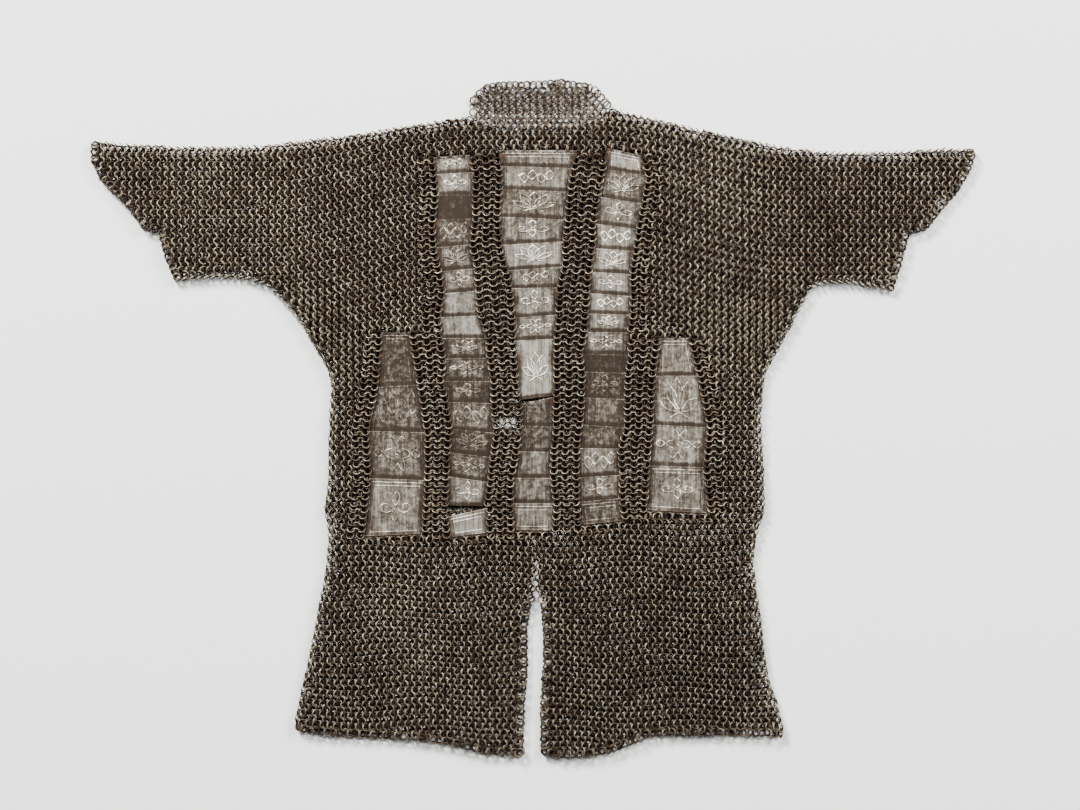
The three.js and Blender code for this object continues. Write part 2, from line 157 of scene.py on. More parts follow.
# Rings of the hidden front are larger, and their wire is broader and flatter by these factors,
# so that the white floor doesn't shine through both layers. It is broadest where the rings above leave gaps.
HIDDEN_FIT = 1.15
HIDDEN_WIRE = (1.05, 0.52)
UNDER_SKIRT_WIRE = (1.28, 0.5)
UNDER_STRIPS_WIRE = (1.6, 0.45)

# Flat sizes of the cloth that the rings' own spread doesn't give, in metres, and the least share of
# width times length that a flat area may be
COLUMN_MAIL_FLAT = (0.2, 0.44)
COLLAR_FLAT = (0.165, 0.055)
LEAST_SHARE = 0.31

# A plate's bevel, the cell that holds one of its link holes, how clear of it plain lines and other rows
# stay, how near in cells counts as the same place, and the hole's corners and clearance from the ends
BEVEL = 0.45
CELL = 2.3
CELL_CLEAR = 0.6
CELL_MATCH = 0.25
ROW_CLEAR = 2.4
HOLE_CORNERS = 8
HOLE_ANGLES = np.radians(-112.5 + 45.0 * np.arange(HOLE_CORNERS))
HOLE_CLEAR = 2.4

# Values that the plates' material reads, and what relief is at a stroke's foot and off the strokes
VALUE_NAMES = ("side_mm", "end_mm", "foot_mm", "relief")
RELIEF_FOOT = -1.0
NO_RELIEF = -2.0
RELIEF_SUNK = 0.05

# A figure's number in AGES is its own plus this if it has frames. Frames lie so many border widths in,
# and a figure is at most so many times as broad as high, or as high as broad.
FRAMES = 10
FRAME_INSETS = (0.6, 1.2)
FRAME_STEP = 4.0
FIGURE_BROADEST = 2.2
FIGURE_HIGHEST = 1.1
LEAF_POINTS = 6
SPIRAL_CLOSE = 0.78

# Sizes of the materials' patterns. The picture shows about 1.2 mm in a pixel, so specks on wire,
# rubbing streaks, steel grain and the paper's tooth, all finer than 0.5 mm in reality, are drawn
# as coarse as they need to show.
SPECKLE = 1.1111
RUB_STREAK = (0.8, 11.111)
STEEL_GRAIN = 1.6129
PAPER_TOOTH = 3.3333
# These are drawn at their real size: clouds of patina on the mail, the waver of a chased line, hammer
# streaks, clouds of patina on the plates, mottles of half rubbed patina and spots of rust.
MAIL_CLOUD = 62.5
LINE_WAVER = 8.3333
HAMMER_STREAK = (2.381, 31.25)
PLATE_CLOUD = 12.5
MOTTLE = 4.7619
RUST_SPOT = 5.2632

# The middle of the photograph, in metres in the frame, and the width of the film in millimetres
VIEW_MIDDLE = (0.0079, 0.0157)
FILM_WIDTH = 36.0

# Soft lights in metres: the key and the fill, each with its size and its place
KEY_SIZE = 1.4
KEY_AT = (-2.5, 3.7, 3.0)
FILL_SIZE = 2.6
FILL_AT = (3.4, 2.5, 3.0)

LEFT_ARMHOLE_X = -266.8
RIGHT_ARMHOLE_X = 296.7

# Edges of the trunk and sleeves. Each row is (x, y).
LEFT_SHOULDER = [(-266.8, 319.7), (-246, 322.6), (-213, 325.5), (-155, 335), (-109, 341.6), (-76, 347.5)]
NECKLINE = [(-75.9, 347.5), (-58, 336.5), (-23, 333), (6, 332.9), (40, 334.5), (69, 340), (88.6, 356)]
RIGHT_SHOULDER = [(88.6, 356), (132, 345.6), (190, 332), (242, 320.5), (296.7, 310.3)]
LEFT_SIDE = [
    (-266.8, 105), (-257.6, 90.3), (-247.3, 71.9), (-236.9, 53.5), (-233.5, 35), (-236, -2), (-237, -38),
    (-238, -75), (-241.5, -103), (-237, -130), (-239, -167), (-245, -199.5), (-253, -241), (-260, -278),
    (-269, -314.5), (-275, -344), (-274.5, -356),
]
RIGHT_SIDE = [
    (296.7, 109.8), (288.7, 96), (280.6, 81), (272.6, 67), (264.5, 51), (261, 27), (259, -2), (261, -38),
    (263.4, -75), (263.4, -107.5), (254, -135), (250.7, -167), (254, -195), (260, -232), (263.4, -266),
    (268, -298), (278, -326), (285, -356), (284, -365),
]
LEFT_HEM = [
    (-274.5, -356), (-266, -360), (-232, -364.6), (-177, -367), (-122, -371), (-88, -377), (-55, -385.7),
    (-14, -387),
]
RIGHT_HEM = [
    (7, -385), (26.5, -390), (58.5, -389), (91.5, -382.4), (132, -365), (216, -364), (284, -365),
]
LEFT_SLIT = [(1, -207.6), (-4.6, -213), (-9.2, -241), (-8.5, -282), (-12, -330), (-14, -387)]
RIGHT_SLIT = [(1.4, -207.6), (6.9, -213), (9.8, -241), (9.6, -282), (6.1, -330), (7, -385)]
LEFT_SLEEVE_TOP = [
    (-509, 316), (-495, 318.5), (-471.5, 315.7), (-404.8, 312.6), (-315, 313.4), (-266.8, 319.7),
]
LEFT_SLEEVE_FOOT = [
    (-413, 157), (-385, 159.3), (-355, 160.4), (-325.5, 158), (-309, 152.4), (-295.6, 141), (-284, 127),
    (-266.8, 105),
]
LEFT_CUFF = [
    (-509, 316), (-509, 295), (-499, 274), (-484, 258), (-466, 240.4), (-449.7, 217), (-432, 212),
    (-428, 197), (-424, 183), (-413, 157),
]
RIGHT_SLEEVE_TOP = [(503, 309), (469, 310), (425.5, 308), (381, 306.5), (337, 306.5), (296.7, 310.3)]
RIGHT_SLEEVE_FOOT = [
    (410.6, 145.5), (388.7, 150), (352, 154), (330, 153.5), (317.4, 149), (311.7, 135.6), (296.7, 109.8),
]
RIGHT_CUFF = [
    (503, 309), (505, 300), (498.6, 281.6), (484, 258), (472, 245), (450, 217), (429.6, 211), (422, 183),
    (410.6, 145.5),
]
COLLAR_TOP = [
    (-75.3, 348), (-74.7, 366), (-66.7, 375.5), (-56, 383.5), (-40, 387), (11.5, 388), (29, 389.8),
    (58.6, 386), (71, 380.6), (78, 373), (87.4, 360.5), (88, 356.6),
]

# The opening of the hidden front, from neck to hem. Each row is (y, left x, right x).
OPENING = [
    (400, -23.4, -22.6), (4.5, -23.4, -22.6), (1.5, -43, -21), (-9.5, -43, -21), (-12.5, -19, -17.5),
    (-100, -15, -14), (-145.5, -1, 0.5), (-180, -0.5, 4.6), (-208, -4, 6.5),
    (-241, -9.2, 10.2), (-282, -8.5, 9.6), (-330, -12, 6.1), (-395, -13.8, 6.9),
]

# Small rips in the back. Each row is (x, y, half width, half height).
RIPS = [(-193, 39.5, 6.5, 8), (-113.5, 48, 4.5, 4.5)]

# Plate columns. Each row of a run is a plate's top edge as (left x, left y, right x, right y),
# and the last row is the bottom edge of the run's last plate.
COLUMNS = {
    "spine_plate": [
        [
            (-42.2, 307.2, 49.5, 307.2), (-39.3, 289.2, 42.9, 286.9), (-39.3, 262.8, 39.1, 259.9),
            (-42, 231.2, 36.2, 228), (-39.7, 198.8, 33.7, 202.9), (-32, 169.5, 33.4, 174.2),
            (-27.6, 149.2, 26, 150.2), (-24.6, 115.3, 26, 119), (-24.2, 89.1, 23, 91.4),
            (-18.7, 20.9, 23, 26.1),
        ],
        [
            (-16.6, 16.7, 22.3, 24.9), (-16.6, -7.9, 23, -9.4), (-19.6, -37.4, 20.1, -38.5),
            (-26.1, -68.1, 19.4, -68.1), (-26.8, -97.2, 23.5, -97.2), (-26.1, -131.7, 21.6, -131.7),
        ],
    ],
    "left_inner_plate": [
        [
            (-117, 299.2, -75.2, 301.9), (-114.8, 279.8, -69.3, 282.3), (-112.6, 256.3, -70, 256.3),
            (-116.3, 227.4, -69.3, 229.2), (-115.5, 195.8, -73.7, 199.5), (-108.9, 168.5, -67, 172.2),
            (-104.5, 143.2, -66.4, 146.5), (-111.1, 116, -63.5, 117.9), (-108.1, 92.2, -54.6, 92.2),
            (-103.8, 68.5, -53.2, 69.6), (-106.8, 42.8, -48.9, 42.8), (-101, 19, -48.9, 17.5),
            (-96.6, -12.2, -45.2, -16.6), (-99.6, -38.8, -49.7, -44.3), (-100.3, -66.2, -52.7, -72.9),
            (-101.8, -100, -56.4, -100.9),
        ],
        [(-101.8, -113.3, -54.2, -102.3), (-98.1, -139.6, -52.7, -134.6)],
    ],
    "right_inner_plate": [
        [
            (81.1, 310.2, 122.1, 301.3), (78.9, 285.9, 129.5, 278.5), (72.3, 254.4, 123.6, 246.3),
            (67.9, 223.6, 117.8, 217), (67.3, 195.2, 114.2, 192.2), (62.9, 168, 110.5, 165.4),
            (60.7, 143.8, 111.3, 140.1), (59.2, 120.3, 110.5, 118.8), (58.5, 99.4, 107.6, 98.3),
            (52, 74.3, 109.3, 72.8), (55.7, 53.7, 104.8, 52.2), (55, 24, 104.1, 22.2),
            (52.7, -6.8, 104.8, -10.8), (49.1, -33.8, 96.7, -34.5), (49.1, -67.9, 98.9, -64.6),
            (49.1, -95.8, 98.2, -91.3), (51.3, -125.8, 103.4, -120.6),
        ],
    ],
    "left_side_plate": [
        [
            (-176.3, 98.7, -142.5, 98.7), (-182, 35.8, -132.8, 39), (-192.5, -14.3, -124.7, -15.9),
            (-189.8, -68.4, -124.2, -70.7), (-198.6, -138.9, -127.8, -135.5),
        ],
    ],
    "right_side_plate": [
        [
            (141.7, 92.2, 177.2, 92.2), (136, 49, 188.5, 49), (133.6, -7, 199.8, -10.2),
            (129.6, -53.8, 194.9, -55.9), (126, -108.3, 201.3, -112.4),
        ],
    ],
}

# How each plate has aged, from the top of its column down.
# Each row is (how bright its worn face is, how wide its brown margin is in mm, which figure it bears).
# Figures: 0 none, 1 vine, 2 palmette, 3 scrolls with leaves, 4 rosette; +10 for raised frames.
AGES = {
    "spine_plate": [
        (0.68, 9, 10), (0.74, 9, 1), (0.62, 9, 2), (0.68, 10, 3), (0.82, 8, 2), (0.66, 9, 1), (0.72, 9, 3),
        (0.74, 9, 4), (0.86, 9, 2), (0.48, 9, 0), (0.46, 10, 0), (0.66, 10, 0), (0.64, 10, 0), (0.70, 9, 10),
    ],
    "left_inner_plate": [
        (0.74, 10, 1), (0.78, 9, 3), (0.10, 12, 0), (0.54, 11, 1), (0.60, 11, 2), (0.70, 10, 3),
        (0.76, 9, 0), (0.80, 10, 0), (0.62, 10, 2), (0.58, 11, 4), (0.46, 12, 3), (0.62, 11, 1),
        (0.46, 12, 2), (0.62, 11, 4), (0.74, 10, 3), (0.86, 9, 10),
    ],
    "right_inner_plate": [
        (0.80, 9, 10), (0.64, 9, 2), (0.70, 10, 3), (0.80, 9, 1), (0.80, 9, 2), (0.80, 9, 3), (0.82, 9, 1),
        (0.76, 9, 2), (0.70, 10, 4), (0.20, 12, 0), (0.36, 11, 3), (0.58, 11, 0), (0.54, 12, 0),
        (0.70, 10, 1), (0.68, 10, 3), (0.54, 11, 10),
    ],
    "left_side_plate": [(0.42, 12, 10), (0.52, 12, 1), (0.62, 13, 4), (0.72, 12, 13)],
    "right_side_plate": [(0.70, 10, 10), (0.70, 10, 2), (0.72, 11, 4), (0.70, 12, 13)],
}

# Strips of turned weave beside the plates. Each row is
# (column on the left, column on the right, top y, bottom y, ring rows across, width where one side is free).
STRIPS = [
    ("left_inner_plate", "spine_plate", 303, -134, 5, 0),
    ("spine_plate", "right_inner_plate", 303, -128, 5, 0),
    ("left_side_plate", "left_inner_plate", 98, -137, 5, 0),
    ("right_inner_plate", "right_side_plate", 92, -116, 5, 0),
    (None, "left_inner_plate", 299, 103, 3, 17),
    ("right_inner_plate", None, 300, 97, 3, 17),
    (None, "left_side_plate", 96, -137, 3, 17),
    ("right_side_plate", None, 90, -110, 3, 17),
]

# The patch left of the spine where rings are pulled apart, as x, y, half width and half height,
# and one ring in how many is gone there
PARTED = (-32.0, -5.0, 12.0, 9.0)
PARTED_EVERY = 3

# Places where the patina is rubbed or brown. Each row is (x, y, radius, change of wear).
PATCHES = [
    (-150, -245, 60, 0.12), (-190, -200, 50, 0.08), (-120, -320, 60, 0.04), (-60, -160, 60, 0.06),
    (-330, 240, 70, 0.10), (-210, 200, 90, -0.04), (210, 260, 80, 0.05), (330, 180, 70, -0.08),
    (360, 280, 80, -0.02), (120, -300, 90, -0.03), (230, 100, 50, 0.10), (20, 370, 60, -0.06),
    (-240, -60, 60, -0.05), (-220, 300, 60, -0.02),
]

# Outlines and folds, joined from the edges above
TRUNK = (
    LEFT_SHOULDER + NECKLINE + RIGHT_SHOULDER + RIGHT_SIDE
    + RIGHT_HEM[::-1] + LEFT_HEM[::-1] + LEFT_SIDE[::-1]
)
LEFT_SLEEVE = LEFT_SLEEVE_TOP + LEFT_SLEEVE_FOOT[::-1] + LEFT_CUFF[::-1]
RIGHT_SLEEVE = RIGHT_SLEEVE_TOP + RIGHT_SLEEVE_FOOT[::-1] + RIGHT_CUFF[::-1]
FOLDS_ACROSS = [LEFT_SIDE, RIGHT_SIDE]
FOLDS = [
    LEFT_SHOULDER, RIGHT_SHOULDER, LEFT_SLEEVE_TOP, RIGHT_SLEEVE_TOP, LEFT_SLEEVE_FOOT, RIGHT_SLEEVE_FOOT,
] + FOLDS_ACROSS
FREE_EDGES = [LEFT_HEM, RIGHT_HEM, LEFT_SLIT, RIGHT_SLIT, LEFT_CUFF, RIGHT_CUFF]
SLIT = LEFT_SLIT + RIGHT_SLIT[::-1]
COLLAR = COLLAR_TOP + NECKLINE[::-1]


def smooth(t):
    t = np.clip(t, 0.0, 1.0)
    return t * t * (3 - 2 * t)


def blend_between(a, b, t):
    return a + (b - a) * t


def as_points(rows):
    return np.array(rows, float)


def nearest_of(edges, points):
    """Distance from each point to the nearest of several edges, and the unit way toward it."""
    best = np.full(len(points), np.inf)
    way = np.zeros((len(points), 2))
    for edge in map(as_points, edges):
        for a, b in zip(edge[:-1], edge[1:]):
            d = b - a
            t = np.clip(((points - a) @ d) / (d @ d), 0, 1)
            gap = a + t[:, None] * d - points
            distance = np.hypot(gap[:, 0], gap[:, 1])
            nearer = distance < best
            best = np.where(nearer, distance, best)
            way[nearer] = gap[nearer]
    return best, way / np.maximum(best, 1e-6)[:, None]


def inside(outline, points):
    """True for each point within a closed outline."""
    outline = as_points(outline)
    x, y = points[:, 0], points[:, 1]
    found = np.zeros(len(points), bool)
    for (ax, ay), (bx, by) in zip(outline, np.roll(outline, -1, axis=0)):
        crosses = (ay > y) != (by > y)
        at = ax + (y - ay) / (by - ay if by != ay else 1e-9) * (bx - ax)
        found ^= crosses & (x < at)
    return found


def spaced(edge, step, ends=False):
    """Points evenly spaced along an edge, and the direction at each. With ends, they reach its ends."""
    edge = as_points(edge)
    steps = np.diff(edge, axis=0)
    lengths = np.hypot(steps[:, 0], steps[:, 1])
    total = lengths.sum()
    count = max(1, int(round(total / step)))
    goals = np.arange(count + 1) * total / count if ends else (np.arange(count) + 0.5) * total / count
    starts = np.concatenate([[0], np.cumsum(lengths)])
    index = np.clip(np.searchsorted(starts, goals, side="right") - 1, 0, len(steps) - 1)
    part = (goals - starts[index]) / lengths[index]
    return edge[index] + steps[index] * part[:, None], steps[index] / lengths[index][:, None]


def column_side(name, side):
    """The long edge of a plate column, from its top down; side 0 is the left edge and 2 the right one."""
    rows = [row for run in COLUMNS[name] for row in run]
    return [(row[side], row[side + 1]) for row in rows]


def column_outline(name, grow_sides=0.0, grow_ends=0.0):
    left, right = as_points(column_side(name, 0)), as_points(column_side(name, 2))
    left[:, 0] -= grow_sides
    right[:, 0] += grow_sides
    left[0, 1] += grow_ends
    right[0, 1] += grow_ends
    left[-1, 1] -= grow_ends
    right[-1, 1] -= grow_ends
    return np.concatenate([left, right[::-1]])


def strip_sides(strip):
    """Two functions of y: where a strip of turned weave begins and ends across."""
    left_column, right_column, _, _, _, width = strip

    def side(name, index):
        edge = as_points(column_side(name, index))[::-1]
        return lambda y: np.interp(y, edge[:, 1], edge[:, 0])

    if left_column and right_column:
        return side(left_column, 2), side(right_column, 0)
    if left_column:
        near = side(left_column, 2)
        return near, lambda y: near(y) + width
    far = side(right_column, 0)
    return lambda y: far(y) - width, far


def in_strips(points):
    found = np.zeros(len(points), bool)
    for strip in STRIPS:
        left, right = strip_sides(strip)
        y = points[:, 1]
        across = (points[:, 0] > left(y)) & (points[:, 0] < right(y))
        found |= across & (y < strip[2] + 1) & (y > strip[3] - 1)
    return found


def waves(points):
    """Height of the soft waves in the upper layer."""
    x, y = points[:, 0], points[:, 1]

    def ripple(t):
        return 0.5 - 0.5 * np.cos(2 * np.pi * t)

    skirt = smooth((SKIRT_TOP - y) / WAVE_FADE) * ripple(x / SKIRT_WAVE)
    outside = smooth((np.abs(x) - CHEST_EDGE) / CHEST_WAVE_FADE)
    slanting = ripple((np.abs(x) + CHEST_SLANT * y) / CHEST_WAVE)
    chest = smooth((y - CHEST_FOOT) / WAVE_FADE) * outside * slanting
    return LIFT * np.maximum(skirt, chest)


def row_shift(x, y):
    """How far a row is shifted up: rows follow the slope of the shoulders, and swing a little below."""
    droop = smooth((np.abs(x) - DROOP_START) / DROOP_REACH) * smooth((y - DROOP_FOOT) / DROOP_FADE)
    swing = np.sin(2 * np.pi * x / SKIRT_SWING_LENGTH + y / SWING_SLANT)
    return SKIRT_SWING * (swing * smooth((SWING_TOP - y) / WAVE_FADE)) - ROW_DROOP * droop


def row_spacing(y):
    """Rows lie closer toward the shoulders, where the mail bunches up."""
    chest = smooth((y + ROWS_CHANGE) / ROWS_CHANGE)
    yoke = smooth((y - ROWS_CHANGE) / ROWS_CHANGE)
    body = blend_between(blend_between(SKIRT_ROWS, CHEST_ROWS, chest), YOKE_ROWS, yoke)
    return np.where(y > COLLAR_FOOT, COLLAR_ROWS, body)


def plain_lattice(pitch):
    """Ring places of the level weave over the whole shirt, with each one's row direction and lean."""
    places, ways, leans = [], [], []
    y, k = LATTICE_FOOT, 0
    while y < LATTICE_HEAD:
        x = np.arange(-LATTICE_SIDE, LATTICE_SIDE, pitch) + (k % 2) * pitch / 2
        row = np.full(len(x), y)
        shift = row_shift(x, row)
        slope = (row_shift(x + 1, row) - row_shift(x - 1, row)) / 2
        places.append(np.stack([x, row + shift], axis=1))
        ways.append(np.stack([np.ones(len(x)), slope], axis=1) / np.hypot(1, slope)[:, None])
        leans.append(np.full(len(x), 1.0 if k % 2 else -1.0))
        y += float(row_spacing(y))
        k += 1
    return np.concatenate(places), np.concatenate(ways), np.concatenate(leans)


class Rings:
    """Rings gathered before they are made into one mesh. Each field holds a list of arrays."""

    def __init__(self):
        self.fields = {"at": [], "normal": [], "along": [], "lean": [], "fit": []}

    def add(self, at, z, normal, along, lean, fit=1.0):
        """Adds rings at places in the drawing, z above the surface. What holds for all may be given once."""
        count = len(at)
        if not count:
            return
        if np.shape(along)[-1] == 2:
            along = np.column_stack([along, np.zeros(count)])
        values = {
            "at": np.column_stack([at, np.broadcast_to(z, count)]),
            "normal": np.broadcast_to(normal, (count, 3)),
            "along": np.broadcast_to(along, (count, 3)),
            "lean": np.broadcast_to(lean, count),
            "fit": np.broadcast_to(fit, count),
        }
        for name, value in values.items():
            self.fields[name].append(value)

    def gathered(self):
        return {name: np.concatenate(parts) for name, parts in self.fields.items()}

    def only(self, kept):
        """The rings that are kept, as a lot of their own."""
        lot = Rings()
        for name, values in self.gathered().items():
            lot.fields[name].append(values[kept])
        return lot

    def count(self):
        return sum(len(part) for part in self.fields["lean"])


def laid(points, upper):
    """Height of the middle of a layer and its normal at each point, rounded over at the folds."""
    distance, way = nearest_of(FOLDS, points)
    full = np.sqrt(1 - (1 - np.minimum(1, distance / FOLD_RADIUS)) ** 2)
    middle = UPPER - SEAM / 2
    flat = LAYER_MIDDLE + (UPPER + UPPER_PROUD + waves(points) if upper else np.zeros(len(points)))
    z = blend_between(middle, flat, full)
    tilt = FOLD_TILT * np.clip(1 - distance / FOLD_TILT_REACH, 0, 1) ** FOLD_TILT_FALL
    side = 1.0 if upper else -1.0
    normal = np.column_stack([way * np.sin(tilt)[:, None] * side, np.cos(tilt)])
    return z, normal


def inward_of(at, run):
    """The unit way into the shirt from each point of an edge."""
    across = np.column_stack([run[:, 1], -run[:, 0]])
    return across * np.where(in_shirt(at + across * PROBE), 1.0, -1.0)[:, None]


def fold_rings(edge, sizes, across):
    """A row of rings that stand on edge along a folded side and join the two layers."""
    at, run = spaced(edge, (sizes.cell_height if across else sizes.pitch) / MM)
    inward = inward_of(at, run)
    at = at + inward * sizes.fold_inset / MM
    normal = np.column_stack([-inward, np.zeros(len(at))])
    if across:
        along = np.tile([0.0, 0.0, 1.0], (len(at), 1))
        lean = np.where(np.arange(len(at)) % 2, 1.0, -1.0)
    else:
        along = np.column_stack([run, np.zeros(len(at))])
        lean = np.ones(len(at))
    return at, UPPER - SEAM / 2, normal, along, lean


def free_edge_rings(edge, sizes):
    """Places, directions and leans of a row of whole rings along a free edge."""
    at, run = spaced(edge, sizes.edge_step / MM)
    at = at + inward_of(at, run) * sizes.edge_inset / MM
    return at, run, np.where(np.arange(len(at)) % 2, EDGE_LEAN, -EDGE_LEAN)


def in_shirt(points):
    """True for each point over the trunk or a sleeve and outside the slit."""
    whole = inside(TRUNK, points) | inside(LEFT_SLEEVE, points) | inside(RIGHT_SLEEVE, points)
    return (whole & ~inside(SLIT, points)) | inside(COLLAR, points)


def ring_template(segments, broader, flatter, sizes):
    """One riveted ring, lying flat: its points and its faces."""
    around = np.arange(segments) * 2 * np.pi / segments
    broad = np.where(np.arange(segments) == 0, LAP_BROADER, 1.0)
    out = (sizes.ring_radius + np.outer(broad, SECTION_ACROSS) * sizes.wire_width * broader / 2) / MM
    up = np.outer(2 - broad, SECTION_UP) * sizes.wire_height * flatter / 2 / MM
    points = np.stack([out * np.cos(around)[:, None], out * np.sin(around)[:, None], up], axis=-1)
    i, j = np.meshgrid(np.arange(segments), np.arange(RING_SIDES), indexing="ij")
    following, beside = (i + 1) % segments, (j + 1) % RING_SIDES
    corners = [RING_SIDES * a + b for a, b in ((i, j), (following, j), (following, beside), (i, beside))]
    return points.reshape(-1, 3), np.stack(corners, axis=-1).reshape(-1, 4)


def add_values(mesh, values):
    """Gives a mesh one number at each point under each name, for its material to read."""
    for name, value in values.items():
        attribute = mesh.attributes.new(name, "FLOAT", "POINT")
        attribute.data.foreach_set("value", value.astype(np.float32))


def new_piece(name, mesh, material, nodes):
    """One piece of the part, in its material and slot, which takes the place of the named solids."""
    mesh.materials.append(bpy.data.materials[material])
    piece = bpy.data.objects.new(name, mesh)
    bpy.context.scene.collection.objects.link(piece)
    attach(piece, BODY)
    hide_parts(*nodes)
    return piece


def quad_mesh(name, points, faces, values):
    """A smooth mesh of quads, with the values at its points."""
    mesh = bpy.data.meshes.new(name)
    mesh.vertices.add(len(points))
    mesh.vertices.foreach_set("co", points.astype(np.float32).ravel())
    mesh.loops.add(faces.size)
    mesh.loops.foreach_set("vertex_index", faces.astype(np.int32).ravel())
    mesh.polygons.add(len(faces))
    mesh.polygons.foreach_set("loop_start", np.arange(len(faces), dtype=np.int32) * 4)
    mesh.update(calc_edges=True)
    mesh.polygons.foreach_set("use_smooth", np.ones(len(faces), bool))
    add_values(mesh, values)
    return mesh


def unit(vectors):
    return vectors / np.maximum(np.linalg.norm(vectors, axis=-1, keepdims=True), 1e-9)


def wear_at(points):
    """How much of the patina is rubbed off, over the shirt."""
    wear_and_shade_tone = np.zeros(len(points))
    for x, y, radius, change in PATCHES:
        wear_and_shade_tone += change * np.exp(-((points[:, 0] - x) ** 2 + (points[:, 1] - y) ** 2) / radius ** 2)
    return wear_and_shade_tone


def ring_points(rings, template, sizes, chance, shows):
    """Points, wear with painted shade and highlight, and rust of gathered rings. Each ring turns, leans and
    sits a little differently.
    """
    got = rings.gathered()
    count = len(got["lean"])
    normal = unit(got["normal"])
    along = unit(got["along"] - (got["along"] * normal).sum(1)[:, None] * normal)
    cross = np.cross(normal, along)
    lean = got["lean"] * (sizes.lean if shows else sizes.hidden_lean) + chance.normal(0, LEAN_SPREAD, count)
    leaned = normal * np.cos(lean)[:, None] + along * np.sin(lean)[:, None]
    leaned = unit(leaned + cross * chance.normal(0, LEAN_SPREAD, count)[:, None])
    first = unit(along - (along * leaned).sum(1)[:, None] * leaned)
    second = np.cross(leaned, first)
    spin = chance.uniform(0, 2 * np.pi, count)
    right = first * np.cos(spin)[:, None] + second * np.sin(spin)[:, None]
    frame_of = np.stack([right, np.cross(leaned, right), leaned], axis=1)
    size = got["fit"] * chance.normal(1 if shows else HIDDEN_FIT, SIZE_SPREAD, count)
    points = np.einsum("pk,nkc->npc", template, frame_of) * size[:, None, None]
    reach = (math.sin(sizes.lean) * sizes.ring_radius + sizes.wire_height / 2) / MM
    # Wear rises with each point's height on its ring: rubbed and painted lighter on the crown as a
    # highlight, painted shade on the low wire.
    wear_and_shade = (WEAR_MIDDLE if shows else HIDDEN_WEAR_AND_SHADE) + WEAR_AND_SHADE_RISE * points[:, :, 2] / reach
    wear_and_shade = wear_and_shade + (chance.normal(0, WEAR_SPREAD, count) + wear_at(got["at"][:, :2]))[:, None]
    rust = np.clip(chance.normal(RUST_MIDDLE, RUST_SPREAD, count), 0, 1)
    rust = np.broadcast_to(rust[:, None], wear_and_shade.shape)
    jitter = np.clip(chance.normal(0, PLACE_SPREAD, (count, 3)), -PLACE_LIMIT, PLACE_LIMIT)
    points = points + (got["at"] + jitter * PLACE_SHARES)[:, None, :]
    return points.reshape(-1, 3), wear_and_shade.ravel(), rust.ravel()


def woven_mesh(name, layers, sizes, seed):
    """One mesh from layers of gathered rings, each with whether it shows and how its wire differs."""
    chance = np.random.RandomState(seed)
    all_points, all_faces, all_wear_and_shade, all_rust = [], [], [], []
    first = 0
    for rings, shows, *wire in layers:
        segments = sizes.ring_segments if shows else sizes.hidden_segments
        broader, flatter = wire or ((1, 1) if shows else HIDDEN_WIRE)
        template, faces = ring_template(segments, broader, flatter, sizes)
        points, wear_and_shade, rust = ring_points(rings, template, sizes, chance, shows)
        starts = first + np.arange(rings.count()) * len(template)
        all_points.append(points)
        all_wear_and_shade.append(wear_and_shade)
        all_rust.append(rust)
        all_faces.append((faces[None] + starts[:, None, None]).reshape(-1, 4))
        first += len(points)
    points = np.concatenate(all_points)
    points[:, 2] = np.maximum(points[:, 2], FLOOR_CLEAR)
    points[:, :2] += DRAWING_AT
    values = {"wear_and_shade": np.concatenate(all_wear_and_shade), "rust": np.concatenate(all_rust)}
    return quad_mesh(name, points * MM, np.concatenate(all_faces), values)


def weave(name, layers, sizes, seed, nodes, sides=1, flat=None):
    """Weaves one piece from layers of rings, and works out how large its cloth is, laid out flat; the
    figures are not passed on.

    Its flat size, if it isn't given, is the rings' spread, unfolded where it has two sides. The flat area
    is the room that the rings take in the weave, but no less than the least share of width times length.
    """
    piece = new_piece(name, woven_mesh(name, layers, sizes, seed), MAIL_MATERIAL, nodes)
    at = np.concatenate([rings.gathered()["at"] for rings, *_ in layers])
    width, length = flat or np.ptp(at[:, :2], axis=0) * MM * [1, sides]
    area = sizes.pitch * np.maximum(row_spacing(at[:, 1]) * MM, sizes.cell_height).sum()
    area = min(max(area, LEAST_SHARE * width * length), width * length)


def linear(code):
    """An sRGB hex colour as linear red, green, blue and alpha."""
    parts = [int(code[k:k + 2], 16) / 255 for k in (1, 3, 5)]
    return tuple(c / 12.92 if c <= 0.04045 else ((c + 0.055) / 1.055) ** 2.4 for c in parts) + (1.0,)


def node(material, kind, inputs=(), output=0, stops=(), **settings):
    """Adds one shader node and gives back one of its outputs.

    Its inputs, in order or by name, are numbers, hex colours or other nodes' outputs. Stops are a ramp's
    (place, hex colour), and settings are the node's own properties.
    """
    made = material.node_tree.nodes.new("ShaderNode" + kind)
    for name, value in settings.items():
        setattr(made, name, value)
    for key, value in inputs.items() if isinstance(inputs, dict) else enumerate(inputs):
        if isinstance(value, bpy.types.NodeSocket):
            material.node_tree.links.new(value, made.inputs[key])
        else:
            made.inputs[key].default_value = linear(value) if isinstance(value, str) else value
    if stops:
        elements = made.color_ramp.elements
        for _ in stops[2:]:
            elements.new(0.5)
        for element, (place, code) in zip(elements, stops):
            element.position = place
            element.color = linear(code)
    return made.outputs[output] if made.outputs else made


def per_metre(*sizes):
    """The scale of a pattern whose features have this size in millimetres, or these sizes along x and y."""
    if len(sizes) == 1:
        return 1 / (sizes[0] * MM)
    across, down = sizes
    return 1 / (across * MM), 1 / (down * MM), 1 / (down * MM)


def new_material(name):
    material = bpy.data.materials.new(name)
    material.use_nodes = True
    material.node_tree.nodes.clear()
    return material


